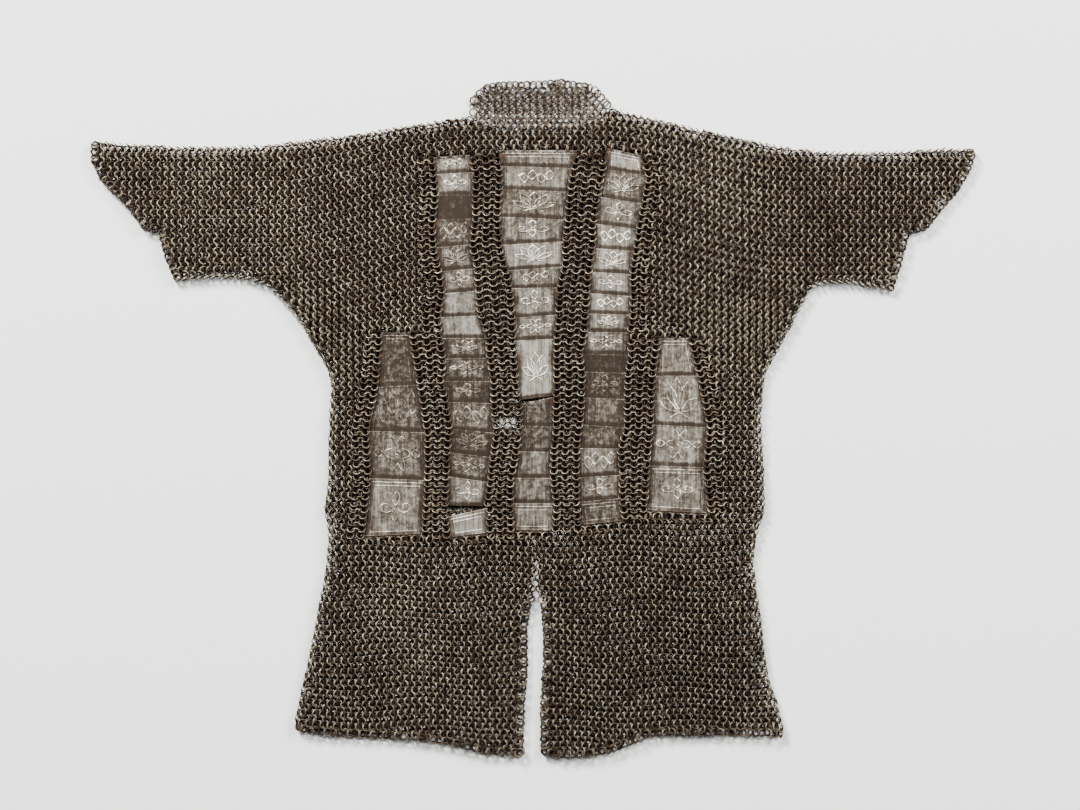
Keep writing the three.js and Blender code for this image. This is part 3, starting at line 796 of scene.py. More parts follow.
def make_mail_material(colours):
    """Iron wire: dark brown oxide in the hollows, rubbed to a dull warm grey on the crowns of the rings. The
    value that sets its tone also holds painted shade on the low and hidden wire and a painted highlight on
    the crowns.
    """
    m = new_material(MAIL_MATERIAL)
    place = node(m, "TexCoord", output="Object")
    speckle = node(m, "TexNoise", {"Vector": place, "Scale": per_metre(SPECKLE), "Detail": 3.0})
    cloud = node(m, "TexNoise", {"Vector": place, "Scale": per_metre(MAIL_CLOUD), "Detail": 3.0})
    # This value holds painted shade on low and hidden wire and a painted highlight on the crowns, besides
    # rubbing.
    wear_and_shade_tone = node(m, "Attribute", output="Fac", attribute_name="wear_and_shade")
    rust = node(m, "Attribute", output="Fac", attribute_name="rust")
    # Specks and broad clouds move the line between rubbed and brown.
    wear_and_shade = node(m, "Math", [speckle, 0.34, wear_and_shade_tone], operation="MULTIPLY_ADD")
    wear_and_shade = node(m, "Math", [cloud, 0.5, wear_and_shade], operation="MULTIPLY_ADD")
    wear_and_shade = node(m, "Math", [wear_and_shade, 0.42], operation="SUBTRACT", use_clamp=True)
    metal = node(m, "ValToRGB", [wear_and_shade], stops=[
        (0.0, colours.hollow),
        (0.42, colours.patina),
        (0.72, colours.rubbed),
        (1.0, colours.crown),
    ])
    # Rust stands only where the patina isn't rubbed off.
    covered = node(m, "Math", [1.0, wear_and_shade], operation="SUBTRACT")
    rusty = node(m, "Math", [rust, covered], operation="MULTIPLY")
    rusty = node(m, "Math", [rusty, 0.55], operation="MULTIPLY")
    colour = node(m, "Mix", {0: rusty, 6: metal, 7: colours.rust}, 2, data_type="RGBA")
    rough = node(m, "Math", [wear_and_shade, -0.25, 0.62], operation="MULTIPLY_ADD")
    bump = node(m, "Bump", {"Strength": 0.25, "Distance": 0.0001, "Height": speckle})
    shader = node(m, "BsdfPrincipled", {
        "Metallic": 0.72, "Base Color": colour, "Roughness": rough, "Normal": bump,
    })
    node(m, "OutputMaterial", {"Surface": shader})
    return m


def make_plate_material(colours):
    """Steel plate, hammered and chased: a bright satin where it is worn, dull and brown at its edges, with
    painted shade at each plate's foot and at the feet of its strokes, and painted highlights on its top edge
    and the strokes' crests.
    """
    m = new_material(PLATE_MATERIAL)
    place = node(m, "TexCoord", output="Object")
    side, end, foot, relief, bright, margin = (
        node(m, "Attribute", output="Fac", attribute_name=name)
        for name in (*VALUE_NAMES, "bright", "margin")
    )
    # A pair of chased lines runs down each side, about 5 and 7 mm in from the edge.
    waver = node(m, "TexNoise", {"Vector": place, "Scale": per_metre(LINE_WAVER), "Detail": 2.0})
    wavy = node(m, "Math", [waver, 0.8, side], operation="MULTIPLY_ADD")
    scaled = node(m, "Math", [wavy, 0.05], operation="MULTIPLY")
    lines = node(m, "ValToRGB", [scaled], stops=[
        (0.00, "#ffffff"), (0.215, "#ffffff"), (0.24, "#303030"), (0.265, "#ffffff"), (0.335, "#f0f0f0"),
        (0.36, "#404040"), (0.385, "#ffffff"),
    ])
    # Streaks of hammering, and finer ones of rubbing, run down the plates.
    broad_place = node(m, "Mapping", {"Vector": place, "Scale": per_metre(*HAMMER_STREAK)})
    broad = node(m, "TexNoise", {"Vector": broad_place, "Scale": 1.0, "Detail": 3.0, "Roughness": 0.6})
    fine_place = node(m, "Mapping", {"Vector": place, "Scale": per_metre(*RUB_STREAK)})
    fine = node(m, "TexNoise", {"Vector": fine_place, "Scale": 1.0, "Detail": 3.0, "Roughness": 0.7})
    # The steel is grainy, and clouds of patina lie over it.
    grain = node(m, "TexNoise", {
        "Vector": place, "Scale": per_metre(STEEL_GRAIN), "Detail": 4.0, "Roughness": 0.7,
    })
    cloud = node(m, "TexNoise", {
        "Vector": place, "Scale": per_metre(PLATE_CLOUD), "Detail": 3.0, "Roughness": 0.55,
    })
    # Brown patina thickens toward the edges, where nothing polishes it. It is a third as wide at the top and
    # at the seam with the next plate as at the sides, and its line is ragged by the clouds. At that seam the
    # darkening is also painted shade, the dark line where the plate's foot meets the next plate's raised
    # edge.
    low = node(m, "Math", [foot, 3.0, -3.0 * LAP + 4.5], operation="MULTIPLY_ADD")
    high = node(m, "Math", [end, 3.0, 2.0], operation="MULTIPLY_ADD")
    nearest = node(m, "Math", [low, high], operation="MINIMUM")
    nearest = node(m, "Math", [nearest, side], operation="MINIMUM")
    ragged = node(m, "Math", [cloud, 7.0, nearest], operation="MULTIPLY_ADD")
    ragged = node(m, "Math", [ragged, 3.5], operation="SUBTRACT")
    edge = node(m, "Math", [ragged, margin], operation="DIVIDE", use_clamp=True)
    wear_and_shade_tone = node(m, "MapRange", {
        "Value": edge, "To Min": 0.18, "To Max": 1.0,
    }, interpolation_type="SMOOTHSTEP")
    shown = node(m, "Math", [wear_and_shade_tone, bright], operation="MULTIPLY")
    # Mottles are left where the patina is half rubbed off.
    mottle = node(m, "TexNoise", {
        "Vector": place, "Scale": per_metre(MOTTLE), "Detail": 4.0, "Roughness": 0.7,
    })
    mottle = node(m, "MapRange", {"Value": mottle, "From Min": 0.47, "From Max": 0.53})
    left_over = node(m, "Math", [bright, -1.5, 1.45], operation="MULTIPLY_ADD", use_clamp=True)
    mottle = node(m, "Math", [mottle, left_over], operation="MULTIPLY")
    shown = node(m, "Math", [mottle, -0.6, shown], operation="MULTIPLY_ADD")
    for pattern, strength in ((broad, 1.15), (fine, 0.5), (grain, 0.4), (cloud, 0.8)):
        swing = node(m, "Math", [pattern, strength, -strength / 2], operation="MULTIPLY_ADD")
        shown = node(m, "Math", [shown, swing], operation="ADD")
    # Each raised stroke gets painted shade at its foot and a painted highlight on its crest, a little
    # brighter than the plate.
    stroke_shade_and_highlight = node(m, "MapRange", {
        "Value": relief, "From Min": RELIEF_FOOT, "From Max": 0.0, "To Min": -0.9, "To Max": 0.10,
    })
    plain_steel = node(m, "Math", [relief, (RELIEF_FOOT + NO_RELIEF) / 2], operation="LESS_THAN")
    raised = node(m, "Math", [1.0, plain_steel], operation="SUBTRACT")
    shown = node(m, "Math", [stroke_shade_and_highlight, raised, shown], operation="MULTIPLY_ADD")
    # The top edge of each plate is painted lighter: a painted highlight where the raised edge catches the
    # light.
    rim = node(m, "MapRange", {
        "Value": end, "From Min": 0.5, "From Max": 1.5, "To Min": 0.4, "To Max": 0.0,
    })
    shown = node(m, "Math", [shown, rim], operation="ADD", use_clamp=True)
    metal = node(m, "ValToRGB", [shown], stops=[
        (0.0, colours.unworn), (0.35, colours.dull), (0.68, colours.steel), (1.0, colours.bright),
    ])
    chased = node(m, "Mix", {0: 0.7, 6: metal, 7: lines}, 2, data_type="RGBA", blend_type="MULTIPLY")
    # Rust stands in small orange touches near the edges, and dirt in the pits.
    spots = node(m, "TexNoise", {"Vector": place, "Scale": per_metre(RUST_SPOT), "Detail": 2.0})
    spots = node(m, "MapRange", {"Value": spots, "From Min": 0.6, "From Max": 0.74})
    at_edge = node(m, "MapRange", {
        "Value": side, "From Min": 1.0, "From Max": 6.0, "To Min": 0.8, "To Max": 0.0,
    })
    spots = node(m, "Math", [spots, at_edge], operation="MULTIPLY")
    colour = node(m, "Mix", {0: spots, 6: chased, 7: colours.rust}, 2, data_type="RGBA")
    pits = node(m, "MapRange", {"Value": grain, "From Min": 0.36, "From Max": 0.30})
    colour = node(m, "Mix", {0: pits, 6: colour, 7: colours.unworn}, 2, data_type="RGBA")
    rough = node(m, "Math", [shown, -0.2, 0.58], operation="MULTIPLY_ADD")
    height = node(m, "Math", [grain, 0.5, fine], operation="MULTIPLY_ADD")
    height = node(m, "Math", [lines, 1.2, height], operation="MULTIPLY_ADD")
    bump = node(m, "Bump", {"Strength": 0.4, "Distance": 0.00025, "Height": height})
    shader = node(m, "BsdfPrincipled", {
        "Metallic": 0.85, "Base Color": colour, "Roughness": rough, "Normal": bump,
    })
    node(m, "OutputMaterial", {"Surface": shader})
    return m


def make_floor_material(colours):
    """White paper: matt, very slightly uneven."""
    m = new_material(FLOOR_MATERIAL)
    place = node(m, "TexCoord", output="Object")
    tooth = node(m, "TexNoise", {"Vector": place, "Scale": per_metre(PAPER_TOOTH), "Detail": 3.0})
    colour = node(m, "Mix", {0: tooth, 6: colours.floor, 7: colours.floor_shade}, 2, data_type="RGBA")
    shader = node(m, "BsdfPrincipled", {"Base Color": colour, "Roughness": 0.9})
    node(m, "OutputMaterial", {"Surface": shader})
    return m


class PlateShape:
    """Where each point of one plate lies: u across from 0 to 1, and v down from 0 at its top to 1 at the
    next plate's top edge, and on to its own end under the next plate."""

    def __init__(self, seams, index, number, ridge):
        self.seams = as_points(seams)
        self.index = index
        self.number = number
        self.ridge = ridge
        self.lapped = index < len(seams) - 2
        self.lengths = self.seams[index][[1, 3]] - self.seams[index + 1][[1, 3]]
        self.length = float(self.lengths.mean())
        widths = self.seams[index:index + 2, 2] - self.seams[index:index + 2, 0]
        self.width = float(widths.mean())
        self.end = 1.0
        if self.lapped:
            after = self.seams[index + 1][1] - self.seams[index + 2][1]
            self.end = 1 + LAP / self.length
            self.lap_share = LAP / after

    def place(self, u, v):
        """Points in the drawing and the height of the plate's underside at each."""
        here, there = self.seams[self.index], self.seams[self.index + 1]
        at = here + (there - here) * np.clip(v, 0, 1)[:, None]
        if self.lapped:
            past = np.clip((v - 1) / (self.end - 1), 0, 1)[:, None]
            at = at + (self.seams[self.index + 2] - there) * past * self.lap_share
            at[:, 0] += LAP_INSET * past[:, 0]
            at[:, 2] -= LAP_INSET * past[:, 0]
        flat = at[:, :2] + (at[:, 2:] - at[:, :2]) * u[:, None]
        low = UPPER + PLATE_RISE * (1 - v / self.end)
        fade = np.maximum(0, 1 - (self.number + v) / RIDGE_PLATES)
        return flat, low + self.ridge * fade * (1 - np.abs(2 * u - 1))

    def crown(self, u, sizes):
        return sizes.crown / MM * (1 - (2 * u - 1) ** 2)

    def side_holes(self, pitch):
        """Pairs of v, at the left and the right edge, where the rings beside the plate pass through it."""
        sides = []
        for k in (0, 1):
            top = self.seams[self.index][2 * k + 1]
            depth = top - link_heights(pitch)
            length = self.lengths[k]
            depth = depth[(depth > HOLE_CLEAR) & (depth < length - HOLE_CLEAR)]
            sides.append(depth / length)
        count = min(map(len, sides))
        return [(left, right) for left, right in zip(sides[0][:count], sides[1][:count])]


def link_heights(pitch):
    """Heights of the rings that link the plates' long edges to the mail, from the top down."""
    return np.arange(LINK_TOP, LINK_FOOT, -pitch)


def spiral(centre, radius, start, turns, steps=11):
    t = np.linspace(0, 1, steps)
    angle = start + 2 * np.pi * turns * t
    reach = radius * (1 - SPIRAL_CLOSE * t)
    return np.column_stack([centre[0] + reach * np.cos(angle), centre[1] + reach * np.sin(angle)])


def leaf(root, tip, fullness):
    root, tip = as_points(root), as_points(tip)
    across = np.array([-(tip - root)[1], (tip - root)[0]]) * fullness
    t = np.linspace(0, 1, LEAF_POINTS)[:, None]
    one = root + (tip - root) * t + across * np.sin(np.pi * t)
    other = root + (tip - root) * t - across * np.sin(np.pi * t)
    return np.concatenate([one, other[::-1][1:]])


def figure_lines(kind):
    """The lines of a traditional leaf ornament, drawn in a square from -1 to 1."""
    if kind == 1:
        t = np.linspace(-1, 1, 21)
        lines = [np.column_stack([t, 0.4 * np.sin(2 * np.pi * t)])]
        for x, way in ((-0.72, -1), (-0.25, 1), (0.28, -1), (0.75, 1)):
            lines.append(leaf((x, -0.4 * way), (x + 0.06, 0.8 * way), 0.2))
        return lines
    if kind == 2:
        lines = [leaf((0, -0.5), (0, 0.98), 0.2), as_points([(-0.45, -0.9), (0, -0.62), (0.45, -0.9)])]
        for hand in (-1, 1):
            lines.append(leaf((0.08 * hand, -0.5), (0.6 * hand, 0.8), 0.17))
            lines.append(leaf((0.12 * hand, -0.6), (0.98 * hand, 0.05), 0.2))
        return lines
    if kind == 3:
        scroll = spiral((0.52, 0.0), 0.44, math.pi, 1.1)
        leaves = [leaf((0, 0.05), (0, 0.95), 0.22), leaf((0, -0.1), (0, -0.9), 0.22)]
        return [scroll, scroll * [-1, 1], *leaves]
    angle = np.linspace(0, 2 * np.pi, 49)
    reach = 0.74 + 0.24 * np.cos(6 * angle)
    return [
        np.column_stack([reach * np.cos(angle) * 0.55, reach * np.sin(angle)]),
        spiral((0, 0), 0.16, 0.0, 1.0, 7),
        leaf((0.6, 0), (1, 0), 0.5),
        leaf((-0.6, 0), (-1, 0), 0.5),
    ]


class Sheets:
    """Faces gathered for one plate, with the values that its material reads."""

    def __init__(self):
        self.points, self.faces, self.values = [], [], []
        self.count = 0

    def add(self, points, faces, values):
        """Adds points with their faces, and gives back the number of the first point."""
        first = self.count
        self.points.append(points)
        self.faces += [tuple(k + first for k in face) for face in faces]
        self.values.append(values)
        self.count += len(points)
        return first


def plate_values(shape, u, v, relief):
    side = np.minimum(u, 1 - u) * shape.width
    return np.column_stack([side, v * shape.length, (1 - v) * shape.length, np.full(len(u), relief)])


def cell_lines(length, cells, plain):
    """Lines across a length: its ends, its bevels, both sides of each hole's cell and a few plain ones."""
    lines = [0.0, BEVEL, length - BEVEL, length]
    for cell in cells:
        lines += [cell - CELL / 2, cell + CELL / 2]
    clear = CELL / 2 + CELL_CLEAR
    lines += [x for x in plain if all(abs(x - cell) > clear for cell in cells)]
    return np.array(sorted(lines))


def hole_faces(cell, hole):
    """Faces between a cell's four corners and the eight of its hole, both counted anticlockwise."""
    faces = []
    for k in range(4):
        after = (k + 1) % 4
        faces.append((cell[k], cell[after], hole[2 * k + 1], hole[2 * k]))
        faces.append((cell[after], hole[(2 * k + 2) % HOLE_CORNERS], hole[2 * k + 1]))
    return faces


def plate_body(sheets, shape, sizes, end_holes):
    """The plate itself: both faces, bevelled edges and the link holes that go through it."""
    inset = sizes.hole_inset / MM
    width, length = shape.width, shape.length
    total = length * shape.end
    edge_columns = [inset, width - inset]
    middle_columns = []
    if end_holes:
        spacing = sizes.end_hole_spacing / MM
        count = int((width - 4 * inset) // spacing) + 1
        middle_columns = list(width / 2 + (np.arange(count) - (count - 1) / 2) * spacing)
    us = cell_lines(width, edge_columns + middle_columns, [width / 4, width / 2, width * 3 / 4]) / width

    half = CELL / 2 / length
    side_rows = shape.side_holes(sizes.strip_pitch / MM)
    end_rows = []
    if end_holes:
        end_row = inset / length if end_holes == "top" else 1 - inset / length
        end_rows = [(end_row, end_row)]
        side_rows = [pair for pair in side_rows if all(abs(v - end_row) > ROW_CLEAR * half for v in pair)]
    lines = [(v, v) for v in (0.0, BEVEL / length, shape.end - BEVEL / length, shape.end)]
    for left, right in side_rows + end_rows:
        lines += [(left - half, right - half), (left + half, right + half)]
    lines = as_points(sorted(lines, key=sum))
    many = len(us)
    grid_u = np.tile(us, len(lines))
    grid_v = (lines[:, :1] + (lines[:, 1:] - lines[:, :1]) * us).ravel()

    def add_points(u, v):
        """Adds points on the top face and again on the underside, and gives back the first of each."""
        flat, low = shape.place(u, v)
        rim = np.minimum.reduce([u * width, (1 - u) * width, v * length, total - v * length])
        drop = BEVEL * (1 - np.clip(rim / BEVEL, 0, 1))
        crown = shape.crown(u, sizes)
        points = np.concatenate([
            np.column_stack([flat, low + PLATE + crown - drop]),
            np.column_stack([flat, low + crown]),
        ])
        values = plate_values(shape, u, v, NO_RELIEF)
        first = sheets.add(points, [], np.concatenate([values, values]))
        return first, first + len(u)

    top, under = add_points(grid_u, grid_v)
    reach_u = sizes.hole / MM / 2 * np.cos(HOLE_ANGLES)
    reach_v = sizes.hole / MM / 2 * np.sin(HOLE_ANGLES)
    faces = []
    for j in range(len(lines) - 1):
        pair = (lines[j] + lines[j + 1]) / 2
        in_side_row = any(np.abs(pair - row).max() < half * CELL_MATCH for row in side_rows)
        in_end_row = any(np.abs(pair - row).max() < half * CELL_MATCH for row in end_rows)
        for i in range(many - 1):
            x = (us[i] + us[i + 1]) / 2 * width
            cell = [(j + 1) * many + i, (j + 1) * many + i + 1, j * many + i + 1, j * many + i]
            columns = edge_columns if in_side_row else middle_columns if in_end_row else []
            if all(abs(x - column) > CELL * CELL_MATCH for column in columns):
                faces.append([top + k for k in cell])
                faces.append([under + k for k in cell[::-1]])
                continue
            v = pair[0] + (pair[1] - pair[0]) * x / width
            hole_top, hole_under = add_points((x + reach_u) / width, v - reach_v / length)
            above = [hole_top + k for k in range(HOLE_CORNERS)]
            below = [hole_under + k for k in range(HOLE_CORNERS)]
            faces += hole_faces([top + k for k in cell], above)
            faces += [face[::-1] for face in hole_faces([under + k for k in cell], below)]
            for k in range(HOLE_CORNERS):
                after = (k + 1) % HOLE_CORNERS
                faces.append((above[k], above[after], below[after], below[k]))
    last = (len(lines) - 1) * many
    rim = [(i + 1, i) for i in range(many - 1)] + [(last + i, last + i + 1) for i in range(many - 1)]
    for j in range(len(lines) - 1):
        rim.append((j * many, (j + 1) * many))
        rim.append(((j + 1) * many + many - 1, j * many + many - 1))
    faces += [(top + b, top + a, under + a, under + b) for a, b in rim]
    sheets.faces += [tuple(face) for face in faces]


def raised_line(sheets, shape, line, sizes):
    """A line of chased relief that stands up from a plate. The line is in millimetres, across and down."""
    step = unit(np.gradient(line, axis=0))
    side = np.column_stack([-step[:, 1], step[:, 0]]) * sizes.relief_width / MM / 2
    points, values = [], []
    foot, crest = (-RELIEF_SUNK, RELIEF_FOOT), (sizes.relief / MM, 1.0)
    for strip, (lift, relief) in ((line - side, foot), (line, crest), (line + side, foot)):
        u, v = strip[:, 0] / shape.width + 0.5, strip[:, 1] / shape.length + 0.5
        flat, low = shape.place(u, v)
        points.append(np.column_stack([flat, low + PLATE + shape.crown(u, sizes) + lift]))
        values.append(plate_values(shape, u, v, relief))
    many = len(line)
    faces = []
    for i in range(many - 1):
        faces.append((i, i + 1, i + 1 + many, i + many))
        faces.append((i + many, i + 1 + many, i + 1 + 2 * many, i + 2 * many))
    sheets.add(np.concatenate(points), faces, np.concatenate(values))


def frame_lines(shape, inset, open_foot):
    """The sides of a raised frame, in millimetres from a plate's middle. An open one has no foot."""
    half, head = shape.width / 2 - inset, inset - shape.length / 2
    foot = shape.length / 2 if open_foot else -head
    if half < 2 * FRAME_STEP or foot - head < FRAME_STEP:
        return []
    corners = [(-half, foot), (-half, head), (half, head), (half, foot), (-half, foot)]
    sides = list(zip(corners, corners[1:]))
    return [spaced(side, FRAME_STEP, ends=True)[0] for side in (sides[:-1] if open_foot else sides)]


def forge_plate(name, node_name, shape, age, sizes, end_holes):
    """One plate as an object, with its raised figure and the values that its material reads."""
    bright, margin, figure = age
    framed, figure = divmod(figure, FRAMES)
    sheets = Sheets()
    plate_body(sheets, shape, sizes, end_holes)
    border = sizes.border / MM
    for inset in (border * np.array(FRAME_INSETS) if framed else ()):
        for line in frame_lines(shape, inset, end_holes == "top"):
            raised_line(sheets, shape, line, sizes)
    if figure:
        across = shape.width / 2 - border * (2 if framed else 1)
        down = (shape.length - LAP) / 2 - (2 * border if framed else sizes.relief_width / MM)
        reach = np.array([min(across, down * FIGURE_BROADEST), min(down, across * FIGURE_HIGHEST)])
        for line in figure_lines(figure):
            raised_line(sheets, shape, line * [1, -1] * reach - [0, LAP / 2], sizes)
    points = np.concatenate(sheets.points)
    points[:, :2] += DRAWING_AT
    mesh = bpy.data.meshes.new(name)
    mesh.from_pydata((points * MM).tolist(), [], sheets.faces)
    add_values(mesh, dict(zip(VALUE_NAMES, np.concatenate(sheets.values).T)))
    add_values(mesh, {"bright": np.full(len(points), bright), "margin": np.full(len(points), margin)})
    new_piece(name, mesh, PLATE_MATERIAL, [node_name])


def in_oval(points, oval):
    """True for each point in an oval, given as x, y, half width and half height."""
    x, y, half_width, half_height = oval
    return ((points[:, 0] - x) / half_width) ** 2 + ((points[:, 1] - y) / half_height) ** 2 < 1


def far_from(edges, points, clear):
    return nearest_of(edges, points)[0] > clear


def level_weave(sizes, upper=True):
    """The level weave of the upper or the lower layer."""
    at, along, lean = plain_lattice(sizes.pitch / MM)
    return (at, along, lean) if upper else (at + [sizes.pitch / MM / 2, LOWER_SHIFT], along, lean)


def back_places(sizes):
    """Places of the level weave in the back, clear of folds, edges, plates, strips and rips."""
    at, along, lean = level_weave(sizes)
    keep = inside(TRUNK, at) & ~inside(SLIT, at)
    keep &= far_from(FOLDS, at, FOLD_CLEAR) & far_from(FREE_EDGES, at, EDGE_CLEAR) & ~in_strips(at)
    for name in COLUMNS:
        keep &= ~inside(column_outline(name, COLUMN_SIDE_CLEAR, COLUMN_END_CLEAR), at)
    for x, y, half_width, half_height in RIPS:
        keep &= ~in_oval(at, (x, y, half_width + RIP_CLEAR, half_height + RIP_CLEAR))
    return at[keep], along[keep], lean[keep]


def add_laid(rings, at, along, lean, upper):
    """Adds rings that lie in a layer, turned over with it at the folds."""
    z, normal = laid(at, upper)
    rings.add(at, z, normal, along, lean)


def add_edges(rings, edges, sizes, upper, keep=None):
    """Adds rings along free edges, all or those whose places are kept."""
    for edge in edges:
        at, run, lean = free_edge_rings(edge, sizes)
        kept = np.ones(len(at), bool) if keep is None else keep(at)
        add_laid(rings, at[kept], run[kept], lean[kept], upper)


def split_by_height(rings, bands):
    """Shares rings out among bands of y. Each band is (foot, head)."""
    y = rings.gathered()["at"][:, 1]
    return [rings.only((y > foot) & (y <= head)) for foot, head in bands]


def back_rings(sizes):
    rings = Rings()
    add_laid(rings, *back_places(sizes), True)
    for edge in (LEFT_SHOULDER, RIGHT_SHOULDER):
        rings.add(*fold_rings(edge, sizes, False))
    for edge in FOLDS_ACROSS:
        rings.add(*fold_rings(edge, sizes, True))
    add_edges(rings, [LEFT_HEM, RIGHT_HEM, LEFT_SLIT, RIGHT_SLIT], sizes, True)
    return rings


def strip_rings(plates):
    """The turned weave beside the plates, with the rings that pass through their holes."""
    rings = Rings()
    pitch = plates.strip_pitch / MM
    for strip in STRIPS:
        left_column, right_column, top, foot, across, _ = strip
        left, right = strip_sides(strip)
        for k in range(across):
            y = link_heights(pitch) - (k % 2) * pitch / 2
            y = y[(y < top) & (y > foot)]
            start = left(y) + (LINK_OUT if left_column else FREE_SIDE_OUT)
            stop = right(y) - (LINK_OUT if right_column else FREE_SIDE_OUT)
            at = np.column_stack([start + (stop - start) * k / (across - 1), y])
            at = at[~in_parted_patch(at)]
            way = np.tile([0.0, 1.0], (len(at), 1))
            add_laid(rings, at, way, np.full(len(at), -1.0 if k % 2 else 1.0), True)
    for runs in COLUMNS.values():
        for row, sign in ((runs[0][0], 1.0), (runs[-1][-1], -1.0)):
            a, b = as_points(row[:2]), as_points(row[2:])
            count = int(np.hypot(*(b - a)) // (plates.end_hole_spacing / MM))
            share = (np.arange(count) + 0.5) / count
            at = a + (b - a) * share[:, None] + [0, sign * LINK_END_OUT]
            way = np.tile([1.0, 0.0], (count, 1))
            add_laid(rings, at, way, np.where(np.arange(count) % 2, 1.0, -1.0), True)
    return rings


def in_parted_patch(points):
    """True for each ring that is gone where the rings are pulled apart left of the spine."""
    return in_oval(points, PARTED) & (np.arange(len(points)) % PARTED_EVERY == 0)


def sleeve_rings(sizes, outline, folds, cuff, keep):
    """The two layers of a sleeve, the upper one with the rings that stand along its folds."""
    upper, lower = Rings(), Rings()
    for rings, is_upper in ((upper, True), (lower, False)):
        at, along, lean = level_weave(sizes, is_upper)
        kept = inside(outline, at) & far_from(FOLDS, at, FOLD_CLEAR) & keep(at)
        kept &= far_from([cuff], at, EDGE_CLEAR)
        add_laid(rings, at[kept], along[kept], lean[kept], is_upper)
    for edge in folds:
        upper.add(*fold_rings(edge, sizes, False))
    add_edges(upper, [cuff], sizes, True)
    add_edges(lower, [cuff], sizes, False)
    return upper, lower


def front_places(sizes, left):
    """Places of the level weave in one side of the hidden front, up to its opening."""
    at, along, lean = level_weave(sizes, False)
    keep = inside(TRUNK, at) & far_from(FOLDS, at, FOLD_CLEAR)
    keep &= far_from(FREE_EDGES + [NECKLINE], at, EDGE_CLEAR) & beside_opening(at, left, OPENING_CLEAR)
    return at[keep], along[keep], lean[keep]


def beside_opening(points, left, clear):
    """True for each point of one side of the front that keeps clear of the front's opening."""
    edge = as_points(OPENING)[::-1]
    column = 1 if left else 2
    x = np.interp(points[:, 1], edge[:, 0], edge[:, column])
    return points[:, 0] < x - clear if left else points[:, 0] > x + clear


def front_rings(sizes, left):
    rings = Rings()
    add_laid(rings, *front_places(sizes, left), False)
    hem, slit = (LEFT_HEM, LEFT_SLIT) if left else (RIGHT_HEM, RIGHT_SLIT)
    add_edges(
        rings, [hem, slit, NECKLINE], sizes, False, lambda at: beside_opening(at, left, OPENING_EDGE_CLEAR),
    )
    return rings


def height_in(node_name, points):
    """The middle of a solid's wall over each point, in millimetres, and the way that the wall faces."""
    solid = bpy.data.objects[node_name]
    corners = [v.co for v in solid.data.vertices]
    tree = BVHTree.FromPolygons(corners, [p.vertices for p in solid.data.polygons])
    heights, ways = [], []
    for x, y in (points + DRAWING_AT) * MM:
        down = tree.ray_cast(Vector((x, y, 1)), Vector((0, 0, -1)))
        up = tree.ray_cast(Vector((x, y, -1)), Vector((0, 0, 1)))
        found = down[0] is not None and up[0] is not None
        heights.append((down[0].z + up[0].z) / 2 / MM if found else math.nan)
        ways.append(down[1] if found else (0, 0, 1))
    return np.array(heights), np.array(ways)


def collar_rings(sizes):
    """The collar's one layer, which leans less than the rest, and its rim."""
    rings = Rings()
    at, along, lean = level_weave(sizes)
    keep = inside(COLLAR, at) & far_from([COLLAR_TOP], at, EDGE_CLEAR)
    at, along, lean = at[keep], along[keep], lean[keep] * COLLAR_LEAN
    edge_at, edge_run, edge_lean = free_edge_rings(COLLAR_TOP, sizes)
    at, along = np.concatenate([at, edge_at]), np.concatenate([along, edge_run])
    lean = np.concatenate([lean, edge_lean])
    z, normal = height_in("collar", at)
    on = ~np.isnan(z)
    rings.add(at[on], z[on], normal[on], along[on], lean[on], COLLAR_FIT)
    return rings


def length(name, description, default, low, high):
    """A length in metres as a setting."""
    return FloatProperty(
        name=name, description=description, default=default, min=low, max=high, unit="LENGTH",
    )


class MailSizes(bpy.types.PropertyGroup):
    """Sizes of the rings and of the weave"""

    pitch: length("Ring pitch", "Distance between neighbouring rings in a row", 0.0081, 0.004, 0.02)
    ring_radius: length("Ring radius", "Radius of a ring to the middle of its wire", 0.00435, 0.002, 0.01)
    wire_width: length(
        "Wire width", "Width of the wire, drawn at 1.5 mm and hammered flatter", 0.0018, 0.0005, 0.004,
    )
    wire_height: length("Wire height", "Height of the hammered wire", 0.00125, 0.0005, 0.004)
    lean: FloatProperty(
        name="Lean", description="How far the rings of a row lean against the next row",
        default=math.radians(29), min=0.0, max=math.radians(60), subtype="ANGLE",
    )
    hidden_lean: FloatProperty(
        name="Hidden lean", description="The same for the lower layer, which lies flatter",
        default=math.radians(20), min=0.0, max=math.radians(60), subtype="ANGLE",
    )
    ring_segments: IntProperty(
        name="Ring segments", description="Straight pieces round a ring on the side that shows",
        default=12, min=6, max=32,
    )
    hidden_segments: IntProperty(
        name="Hidden ring segments", description="Straight pieces round a ring of the hidden layer",
        default=6, min=5, max=32,
    )
    cell_height: length("Row height", "Least distance between rows in the cloth's area", 0.0056, 0.003, 0.02)
    fold_inset: length("Fold inset", "How far inside a folded side its rings stand", 0.0024, 0.0, 0.01)
    edge_inset: length("Edge inset", "How far inside a free edge its rings' middles lie", 0.0049, 0.0, 0.01)
    edge_step: length("Edge pitch", "Distance between rings along a free edge", 0.0068, 0.004, 0.02)


class MailColours(bpy.types.PropertyGroup):
    """Colours of the iron rings, as sRGB hex codes"""

    # Hollow and patina also colour the painted shade on the low and hidden wire, and crown the painted
    # highlight on the rings' tops.
    hollow: StringProperty(name="Hollow", description="Old brown oxide between the rings", default="#0b0806")
    patina: StringProperty(name="Patina", description="Brown patina on the wire", default="#30281d")
    rubbed: StringProperty(name="Rubbed", description="Wire with its patina rubbed thin", default="#665c4c")
    crown: StringProperty(name="Crown", description="Bare iron on the rings' crowns", default="#8c836c")
    rust: StringProperty(name="Rust", description="Red-brown rust on single rings", default="#5c3f2b")


